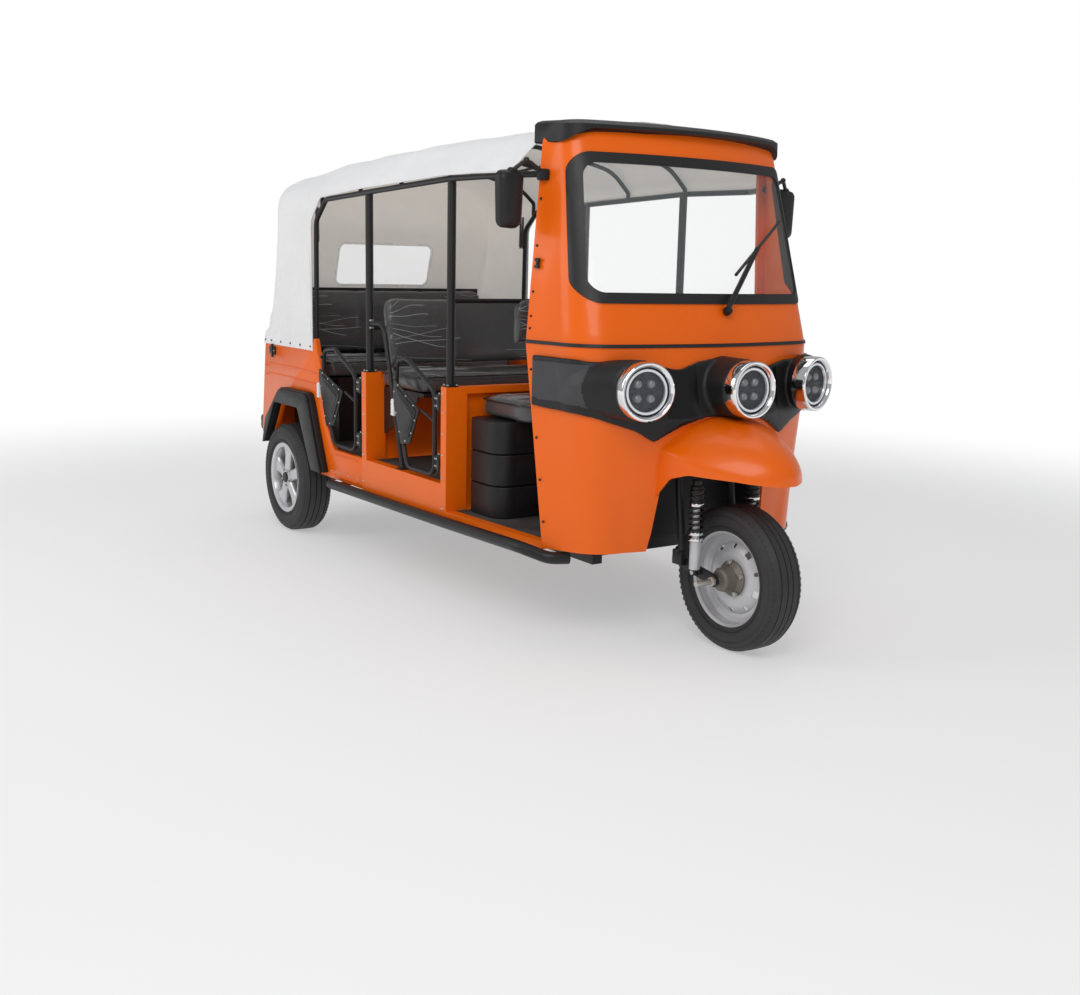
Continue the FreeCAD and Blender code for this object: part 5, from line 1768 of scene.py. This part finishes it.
@dataclass
class Wheels:
    """Tyres, rims and hub dress of the three wheels.

    Attributes:
        front: Centre of the front wheel.
        rear: Place of a rear wheel across the vehicle, along it and above the ground.
        seat: Radius of the rim where the tyre sits.
        lug: Depth of the tread grooves.
        blocks: Number of blocks round each shoulder.
    """

    front: Point = (0.0, -1318.0, 247.0)
    rear: Point = (543.0, 1147.0, 254.0)
    seat: float = 152.0
    lug: float = 6.0
    blocks: int = 72

    def build(self) -> None:
        """Makes all three wheels."""
        self.tyre("front_tyre_tread", Body.FRONT_WHEEL, self.front, 247, 135, "front_tyre")
        self.disc(Body.FRONT_WHEEL, self.front)
        x, y, z = self.rear
        for side, body, name in ((-1, Body.REAR_RIGHT, "rear_right"), (1, Body.REAR_LEFT, "rear_left")):
            self.tyre(f"{name}_tyre_tread", body, (side * x, y, z), 254, 145, f"{name}_tyre")
            self.alloy(f"{name}_alloy", body, (side * x, y, z), side, f"{name}_rim")

    def tyre(self, name: str, body: Body, centre: Point, radius: float, width: float, node: str) -> None:
        """Makes one tyre with its grooves and shoulder blocks.

        Args:
            name: Name of the piece.
            body: CAD body it rides on.
            centre: Centre of the wheel.
            radius: Outer radius.
            width: Width over the side walls.
            node: CAD node it stands for.
        """
        half = width / 2
        form = Form(name)
        tread = half * 0.78
        profile = [(-half * 0.62, self.seat + 1), (-half * 0.86, self.seat + 12), (-half, self.seat + 40),
                   (-half * 0.985, radius - 36), (-half * 0.93, radius - 20), (-tread, radius - 8)]
        steps = ((-0.60, -0.53), (-0.20, -0.13), (0.13, 0.20), (0.53, 0.60))
        for low, high in steps:
            a, b = low * half, high * half
            crown = radius - 2.5 * abs(low)
            profile += [(a, crown), (a + 1.4, crown - self.lug), (b - 1.4, crown - self.lug), (b, crown)]
        profile += [(-a, r) for a, r in reversed(profile[:6])]
        profile += [(half * 0.55, self.seat + 5), (-half * 0.55, self.seat + 5)]
        form.lathe(profile, centre, TYRE, 96)
        for ring in (self.seat + 24, self.seat + 60):
            for sign in (-1, 1):
                foot = sign * half * 0.97
                bead = [(foot, ring), (sign * (half + 0.4), ring + 1.2), (foot, ring + 3)]
                form.lathe(bead, centre, TYRE, 96)
        block = Matrix.Diagonal((15, 9, 5, 1))
        for k in range(self.blocks):
            turn = 2 * math.pi * k / self.blocks
            spin = Matrix.Rotation(-turn, 4, "X")
            for sign in (-1, 1):
                spot = Vector((centre[0] + sign * half * 0.80, *around(centre, radius - 13.5, turn)))
                tilt = Matrix.Rotation(sign * 0.5, 4, "Y")
                part = bmesh.new()
                bmesh.ops.create_cube(part, size=1.0, matrix=Matrix.Translation(spot) @ spin @ tilt @ block)
                form.add(part, TYRE)
        form.piece(node, body=body, crease=30)

    def disc(self, body: Body, centre: Point) -> None:
        """Makes the pressed steel front wheel with its slots, hub and nuts.

        Args:
            body: CAD body it rides on.
            centre: Centre of the wheel.
        """
        form = Form("front_steel_wheel")
        seat = self.seat
        form.lathe([(-58, seat + 14), (-50, seat + 2), (-18, seat - 1), (-12, seat - 16), (12, seat - 16),
                    (18, seat - 1), (50, seat + 2), (58, seat + 14), (54, seat + 15), (44, seat + 4),
                    (-44, seat + 4), (-54, seat + 15)], centre, STEEL, 72)
        form.piece("front_wheel_rim", body=body, crease=40)
        form = Form("front_wheel_disc")
        form.lathe([(-8, 50), (-26, 62), (-32, 84), (-22, 110), (-10, 124), (-12, 138), (-12, 140), (-4, 140),
                    (-5, 126), (-16, 112), (-26, 84), (-20, 66), (-3, 50)], centre, STEEL, 72)
        wheel = form.piece(body=body, crease=40)
        slots = Form("slots")
        for k in range(10):
            turn = 2 * math.pi * k / 10
            reach = Vector((0, math.cos(turn), -math.sin(turn))) * (13 if k % 2 else 7)
            spot = Vector((centre[0] - 19, *around(centre, 112, turn)))
            width = 11 if k % 2 else 9
            slots.bar(spot - reach, spot + reach, width, STEEL, sides=16, bevel=4)
        carve(wheel, slots, crease=40)
        hub = Form("front_hub")
        hub.lathe([(-86, 0.5), (-86, 30), (-80, 38), (-44, 46), (-30, 60), (-8, 62), (0, 48), (44, 46),
                   (80, 36), (86, 30), (86, 0.5)], centre, CAST, 48)
        for k in range(5):
            y, z = around(centre, 56, 2 * math.pi * k / 5)
            hub.bar((-34, y, z), (-46, y, z), 9, ZINC, sides=6, bevel=1)
        hub.piece(body=body)

    def alloy(self, name: str, body: Body, centre: Point, side: int, node: str) -> None:
        """Makes one alloy wheel with five wide spokes.

        Args:
            name: Name of the piece.
            body: CAD body it rides on.
            centre: Centre of the wheel.
            side: -1 for the right-hand side, 1 for the left.
            node: CAD node it stands for.
        """
        form = Form(name)
        seat = self.seat
        rim = [(-62, seat + 13), (-54, seat + 2), (0, seat - 6), (50, seat + 1), (62, seat + 15),
               (66, seat + 12), (62, seat - 6), (44, seat - 12), (0, seat - 16), (-50, seat - 8)]
        face = [(58, 0.5), (58, 34), (54, 44), (28, 46), (28, 0.5)]
        cap = [(56, 0.5), (56, 26), (64, 24), (66, 18), (66, 0.5)]
        drum = [(-30, 1), (-30, seat - 24), (-22, seat - 24), (-22, 1)]
        for profile, finish, sides in ((rim, ALLOY, 80), (face, ALLOY, 48), (cap, SATIN, 40)):
            form.lathe([(a * side, r) for a, r in profile], centre, finish, sides)
        for k in range(5):
            self.spoke(form, centre, side, 2 * math.pi * k / 5)
            y, z = around(centre, 38, 2 * math.pi * (k + 0.5) / 5)
            form.bar((centre[0] + 50 * side, y, z), (centre[0] + 63 * side, y, z), 7, ZINC, tip=6, sides=6)
        form.lathe([(a * side, r) for a, r in drum], centre, CAST, 48)
        form.piece(node, body=body, crease=34)

    def spoke(self, form: Form, centre: Point, side: int, turn: float) -> None:
        """Adds one wide spoke that flares into the rim.

        Args:
            form: Form of the wheel.
            centre: Centre of the wheel.
            side: -1 for the right-hand side, 1 for the left.
            turn: Turn of the spoke from the top.
        """
        rings = []
        for reach, half, high, low in SPOKE:
            ring = []
            for a, w in ((low, half), (high - 7, half), (high, half - 8), (high, 8 - half), (high - 7, -half),
                         (low, -half)):
                y, z = around(centre, reach, turn)
                ring.append(Vector((centre[0] + a * side, y + math.cos(turn) * w, z - math.sin(turn) * w)))
            rings.append(ring)
        form.skin(rings, ALLOY, bevel=2.5)


REAR_SIDE = [(375, 320), (806, 320), (816, 338), (967, 602, 20), (1242, 601, 20), (1371, 404), (1380, 392),
             (1506, 430, 20), (1439, 894), (875, 894), (862, 925, 8), (846, 925, 10), (828, 868, 30),
             (780, 789, 30), (726, 543, 40), (661, 451, 20), (375, 451)]
FLARE_OUTER = [(1408, 396), (1364, 522, 30), (1190, 680, 50), (865, 684, 50), (716, 340)]
FLARE_INNER = [(822, 340), (967, 604, 20), (1242, 604, 20), (1380, 396)]


@dataclass
class RearBody:
    """Rear side panels, back panel, wheel flares, bumper and tail lamps.

    Attributes:
        side: Inner and outer place of a side panel.
        back: Rear edge of the back panel at its foot and top.
        flare: How far out a flare reaches.
    """

    side: tuple[float, float] = (551.0, 574.0)
    back: tuple[float, float] = (1506.0, 1439.0)
    flare: float = 617.0

    def back_at(self, z: float) -> float:
        """Returns where the back panel's outer face is at a height."""
        return self.back[0] + (self.back[1] - self.back[0]) * (z - 430) / (894 - 430)

    def build(self) -> None:
        """Makes the rear body and its trim."""
        shell = Form("rear_shell")
        for side in (-1, 1):
            shell.slab("x", REAR_SIDE, *span(side, *self.side), PAINT, 2.5)
        rings = []
        for z in (430, 520, 640, 760, 870, 894):
            y = self.back_at(z)
            rings.append([Vector((x, y - inset, z)) for x, inset in (
                (-571, 14), (-571, 1), (-300, 0), (300, 0), (571, 1), (571, 14), (300, 15), (-300, 15))])
        shell.skin(rings, PAINT)
        self.pressings(shell)
        shell.piece("rear_body", crease=40)
        self.flares()
        self.fittings()
        self.bumper()

    def pressings(self, form: Form) -> None:
        """Adds the pressed lines of the side panels and of the back panel.

        Args:
            form: Form of the rear shell.
        """
        for side in (-1, 1):
            x = side * self.side[1]
            for points in ([(838, 772), (1002, 778), (1402, 778), (1448, 766)],
                           [(846, 726), (1010, 730), (1410, 730), (1452, 720)],
                           [(420, 434), (640, 434)], [(420, 338), (790, 338)]):
                line = [(x, y, z) for y, z in points]
                form.tube(line, [0] + [40] * (len(line) - 2) + [0], 3.6, PAINT)
            form.tube([(x, 884, 862), (x, 1432, 862)], [0, 0], 1.6, PAINT)
        for z in (560, 770):
            y = self.back_at(z)
            form.tube([(-380, y, z), (380, y, z)], [0, 0], 3.0, PAINT)

    def flares(self) -> None:
        """Makes the moulded flares round the rear wheels."""
        form = Form("wheel_flare_shells")
        inner = self.side[1] + 0.4
        form.slab("x", FLARE_OUTER + FLARE_INNER, inner, self.flare - 12, MOULDED, 3)
        lip = [(y * 0.988 + 13, z * 0.985 + 2, *rest) for y, z, *rest in FLARE_OUTER] + FLARE_INNER
        form.slab("x", lip, self.flare - 13, self.flare, MOULDED, 4)
        for y, z in ((790, 520), (850, 655), (1010, 662), (1190, 660), (1320, 560)):
            form.bar((self.flare - 13, y, z), (self.flare - 10, y, z), 5, SATIN, tip=4, sides=14)
        form.mirror().piece("wheel_flares")

    def fittings(self) -> None:
        """Makes the latch, bolts and belt strap of the rear body."""
        form = Form("body_fittings")
        x = self.side[1]
        form.box((x - 1, x + 9), (1307, 1376), (822, 860), SATIN, 3)
        form.box((x + 6, x + 15), (1322, 1340), (809, 873), SATIN, 3)
        form.bar((x, 1352, 841), (x + 14, 1352, 841), 8, SATIN, sides=20, bevel=1.5)
        for y in (1314, 1369):
            form.bar((x + 7, y, 841), (x + 11, y, 841), 4, ZINC, tip=3, sides=12)
        for y in range(420, 800, 90):
            form.bar((x - 1, y, 352), (x + 3, y, 352), 4.5, ZINC, tip=3.2, sides=12)
        for y in (-317, 355):
            for z in (356, 470, 560, 640, 720, 790):
                form.bar((x - 1, y + 8, z), (x + 3, y + 8, z), 4.6, ZINC, tip=3.2, sides=12)
        form.mirror().piece()
        strap = Form("belt_straps")
        for side in (-1, 1):
            x = side * 540
            for shift in (0, 20):
                strap.slab("x", [(868 + shift, 1500, 4), (880 + shift, 1500, 4), (884 + shift, 1360, 10),
                                 (874 + shift, 1338, 6), (866 + shift, 1360, 10)], x - 1.5, x + 1.5, RUBBER)
        strap.piece()

    def upright(self, section: Sequence[tuple[float, float]], low: float, high: float) -> list[list[Vector]]:
        """Draws the two rings of a block that stands on the back panel.

        Args:
            section: Its corners: x and reach behind the panel.
            low: Height of its foot.
            high: Height of its top.

        Returns:
            The rings.
        """
        return [[Vector((x, self.back_at(z) + reach, z)) for x, reach in section] for z in (low, high)]

    def bumper(self) -> None:
        """Makes the bumper and the tail lamps."""
        form = Form("bumper_bar")
        rings = []
        for x in range(-560, 561, 70):
            face = 1565 - 6 * (x / 560) ** 2
            section = ((1512, 437), (face - 10, 437), (face, 447), (face, 466), (face - 4, 470), (face, 474),
                       (face, 497), (face - 12, 507), (1512, 507))
            rings.append([Vector((x, y, z)) for y, z in section])
        form.skin(rings, MOULDED, bevel=1.5)
        for x in (-420, 420):
            form.box((x - 24, x + 24), (1497, 1514), (446, 500), SATIN, 2)
        for x in (-480, -160, 160, 480):
            form.bar((x, 1560, 486), (x, 1564.5, 486), 7, SATIN, tip=5.5, sides=16)
        form.piece("rear_bumper", crease=40)
        lamps = Form("tail_lamp_units")
        for low, high, finish in ((562, 622, RED), (626, 690, RED), (694, 758, AMBER)):
            section = ((472, 0.5), (538, 0.5), (538, 15), (532, 21), (478, 21), (472, 15))
            lamps.skin(self.upright(section, low, high), finish, bevel=2)
        rim = ((470, 0.4), (540, 0.4), (540, 9.4), (470, 9.4))
        lamps.skin(self.upright(rim, 560, 760), MOULDED, bevel=1.5)
        lamps.mirror().piece("tail_lamps")


# Damper from its foot upwards: start, end, radius, finish, sides, rounded edge
DAMPER = ((10, 112, 19, STEEL, 32, 1.5), (110, 300, 13, STEEL, 24, 0), (108, 118, 24, CHROME, 32, 1.5),
          (128, 138, 25, CHROME, 32, 1.5), (226, 236, 25, CHROME, 32, 1.5), (-10, 14, 14, SATIN, 20, 1.5),
          (294, 314, 15, SATIN, 20, 1.5), (236, 294, 22, SATIN, 32, 2))


@dataclass
class FrontEnd:
    """Steering fork, links, dampers with springs and the handlebar.

    Attributes:
        rake: Lean of the steering axis in degrees.
        spread: Half distance between the fork legs.
        damper: Half distance between the dampers.
        grip: End of the handlebar, across and back from its middle.
    """

    rake: float = 16.0
    spread: float = 118.0
    damper: float = 127.0
    grip: tuple[float, float] = (248.0, 66.0)

    def head(self, z: float) -> Point:
        """Returns the point of the steering axis at a height."""
        return (0.0, -1140 + (z - 640) * math.tan(math.radians(self.rake)), z)

    def build(self) -> None:
        """Makes the front end."""
        fork = Form("fork_tubes")
        fork.bar(self.head(590), self.head(1076), 15, SATIN, sides=32)
        fork.box((-132, 132), (-1172, -1126), (578, 608), SATIN, 8)
        for side in (-1, 1):
            x = side * self.spread
            fork.tube([(x, -1128, 592), (x, -1163, 322)], [0, 0], 13, SATIN, sides=5)
            fork.ball((x, -1150, 322), 15, SATIN)
            fork.box((x - 12, x + 12), (-1176, -1126), (270, 322), SATIN, 4)
        fork.piece("steering_fork", body=Body.STEERING, crease=40)
        arms = Form("link_plates")
        for side in (-1, 1):
            arms.slab("x", [(-1110, 270, 12), (-1110, 302, 12), (-1318, 269, 14), (-1344, 247, 14),
                            (-1318, 225, 14)], *span(side, 97, 111), SATIN, 3)
            arms.bar((side * 92, -1130, 286), (side * 124, -1130, 286), 12, ZINC, sides=20, bevel=2)
            arms.bar((side * 96, -1242, 264), (side * 141, -1242, 264), 8, ZINC, sides=20, bevel=1)
            arms.bar((side * 111, -1318, 247), (side * 122, -1318, 247), 17, ZINC, sides=6, bevel=1.5)
        arms.bar((-188, -1318, 247), (188, -1318, 247), 10, ZINC, sides=24, bevel=1.5)
        arms.piece("link_arms", body=Body.STEERING, crease=35)
        self.dampers()
        self.handlebar()

    def dampers(self) -> None:
        """Makes the two dampers with collars and springs."""
        form = Form("damper_units")
        for side in (-1, 1):
            foot = Vector((side * self.damper, -1242, 264))
            axis = Vector((0, 6, 318)).normalized()
            for low, high, radius, finish, sides, bevel in DAMPER:
                form.bar(foot + axis * low, foot + axis * high, radius, finish, sides=sides, bevel=bevel)
            coil = []
            for k in range(97):
                angle = 2 * math.pi * k / 12
                coil.append(foot + axis * (134 + 152 * k / 96)
                            + Vector((math.cos(angle) * 21, math.sin(angle) * 21, 0)))
            form.tube(coil, [0] * 97, 5.0, SATIN)
        form.piece("front_shocks", body=Body.STEERING, crease=40)

    def handlebar(self) -> None:
        """Makes the handlebar with its grips, levers and clamp."""
        form = Form("handlebar_tubes")
        y = self.head(1080)[1]
        form.box((-30, 30), (y - 24, y + 24), (1068, 1096), SATIN, 5)
        end_x, end_y = self.grip
        form.tube([(-end_x, y + end_y, 1080), (-90, y, 1080), (90, y, 1080), (end_x, y + end_y, 1080)],
                  [0, 60, 60, 0], 10.5, SATIN, sides=5)
        for side in (-1, 1):
            end = Vector((side * end_x, y + end_y, 1080))
            start = Vector((side * 90, y, 1080)).lerp(end, 0.34)
            form.bar(start, end, 15, RUBBER, sides=28, bevel=2)
            for k in range(8):
                spot = start.lerp(end, (k + 0.6) / 8.4)
                form.bar(spot, spot + (end - start).normalized() * 4, 16.2, RUBBER, sides=28)
            form.box(span(side, 112, 136), (y - 6, y + 34), (1066, 1094), MOULDED, 4)
        form.piece("handlebar", body=Body.STEERING, crease=40)


# Finishes of the CAD nodes that stay and aren't satin black
DRESS = {"floor_mats": MAT, "side_sills": PANEL, "front_bulkhead": PANEL, "rear_bulkhead": PANEL,
         "wheelhouse_liner": MOULDED, "dashboard": MOULDED, "drive_motor": CAST}


def dress_frame(frame: dict) -> None:
    """Gives every CAD node that stays its own finish.

    Args:
        frame: Nodes and joints as loaded.
    """
    for name, node in frame["nodes"].items():
        finish = DRESS.get(name, SATIN)
        for slot in node.material_slots:
            slot.material = finish.material()
        if not node.material_slots:
            node.data.materials.append(finish.material())
    LOG.info("%d frame nodes dressed", len(frame["nodes"]))


@dataclass
class Stage:
    """Camera, floor, world and lights of the studio.

    Attributes:
        place: Place of the camera in millimetres.
        focal: Focal length in pixels of the photograph.
        yaw: Turn to the vehicle's left in radians.
        pitch: Tilt downwards in radians.
        roll: Roll in radians.
        width: Width of the picture in pixels.
    """

    place: Point = (-2779.5, -4210.9, 1258.2)
    focal: float = 1207.742
    yaw: float = 0.597
    pitch: float = 0.188
    roll: float = 0.022
    width: float = 1080.0

    def build(self) -> None:
        """Makes the whole stage."""
        self.camera()
        self.floor()
        self.world()
        self.lights()
        bpy.context.scene.view_settings.view_transform = "Standard"
        bpy.context.scene.view_settings.look = "None"

    def camera(self) -> None:
        """Sets the camera to the photograph's view."""
        y, p, r = self.yaw, self.pitch, self.roll
        forward = Vector((math.sin(y) * math.cos(p), math.cos(y) * math.cos(p), -math.sin(p)))
        right = Vector((math.cos(y), -math.sin(y), 0))
        up = right.cross(forward)
        turned = math.cos(r) * right + math.sin(r) * up
        risen = math.cos(r) * up - math.sin(r) * right
        lens = bpy.data.cameras.new("view")
        lens.sensor_width = 36.0
        lens.lens = self.focal * 36.0 / self.width
        holder = put("view", lens)
        basis = Matrix((turned, risen, -forward)).transposed().to_4x4()
        holder.matrix_world = Matrix.Translation(Vector(self.place) * MM) @ basis
        bpy.context.scene.camera = holder

    def floor(self) -> None:
        """Makes the pale floor, which fades into the white backdrop with distance."""
        part = bmesh.new()
        bmesh.ops.create_grid(part, x_segments=1, y_segments=1, size=30.0)
        mesh = bpy.data.meshes.new("floor")
        part.to_mesh(mesh)
        part.free()
        material = bpy.data.materials.new("pale_floor")
        material.use_nodes = True
        tree = material.node_tree
        matt = tree.nodes["Principled BSDF"]
        matt.inputs["Base Color"].default_value = (0.86, 0.86, 0.86, 1.0)
        matt.inputs["Roughness"].default_value = 0.85
        glow = node(tree, "ShaderNodeEmission", Color=WHITE)
        length = node(tree, "ShaderNodeVectorMath", Vector=node(tree, "ShaderNodeTexCoord").outputs["Object"])
        length.operation = "LENGTH"
        fade = node(tree, "ShaderNodeMapRange", Value=length.outputs["Value"], From_Min=2.4, From_Max=6.0,
                    To_Min=0.40)
        fade.interpolation_type = "SMOOTHSTEP"
        blend(tree, fade.outputs["Result"], matt.outputs["BSDF"], glow.outputs["Emission"], "Material Output")
        mesh.materials.append(material)
        put("floor", mesh)

    def world(self) -> None:
        """Makes the white world: bright to the camera, softer as a light."""
        world = bpy.data.worlds.new("studio")
        bpy.context.scene.world = world
        world.use_nodes = True
        tree = world.node_tree
        soft = tree.nodes["Background"]
        soft.inputs["Color"].default_value = (0.97, 0.98, 1.0, 1.0)
        soft.inputs["Strength"].default_value = 0.42
        plain = node(tree, "ShaderNodeBackground", Color=WHITE, Strength=1.0)
        ray = node(tree, "ShaderNodeLightPath").outputs["Is Camera Ray"]
        blend(tree, ray, soft.outputs["Background"], plain.outputs["Background"], "World Output")

    def lights(self) -> None:
        """Makes three large soft lights."""
        table = (("key", (-3.4, -4.2, 4.4), 3.2, 120.0), ("side", (-4.8, 1.6, 3.0), 3.0, 56.0),
                 ("top", (0.6, 0.2, 5.4), 4.0, 50.0))
        for name, spot, size, power in table:
            lamp = bpy.data.lights.new(name, "AREA")
            lamp.shape, lamp.size, lamp.energy = "DISK", size, power
            holder = put(name, lamp)
            holder.location = spot
            holder.rotation_euler = (Vector((0, 0, 0.7)) - Vector(spot)).to_track_quat("-Z", "Y").to_euler()


def main() -> None:
    """Builds the looks of the rickshaw, piece by piece."""
    logging.basicConfig(level=logging.INFO, format="%(message)s")
    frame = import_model()
    dress_frame(frame)
    cab = Cab()
    cab.build()
    Headlamps().build(cab)
    Mudguard().build()
    Cover().build()
    Tubes().build()
    Doors().build()
    Mirrors().build()
    Wiper().build()
    Seats().build()
    RearBody().build()
    FrontEnd().build()
    Wheels().build()
    Stage().build()


if __name__ == "__main__":
    main()
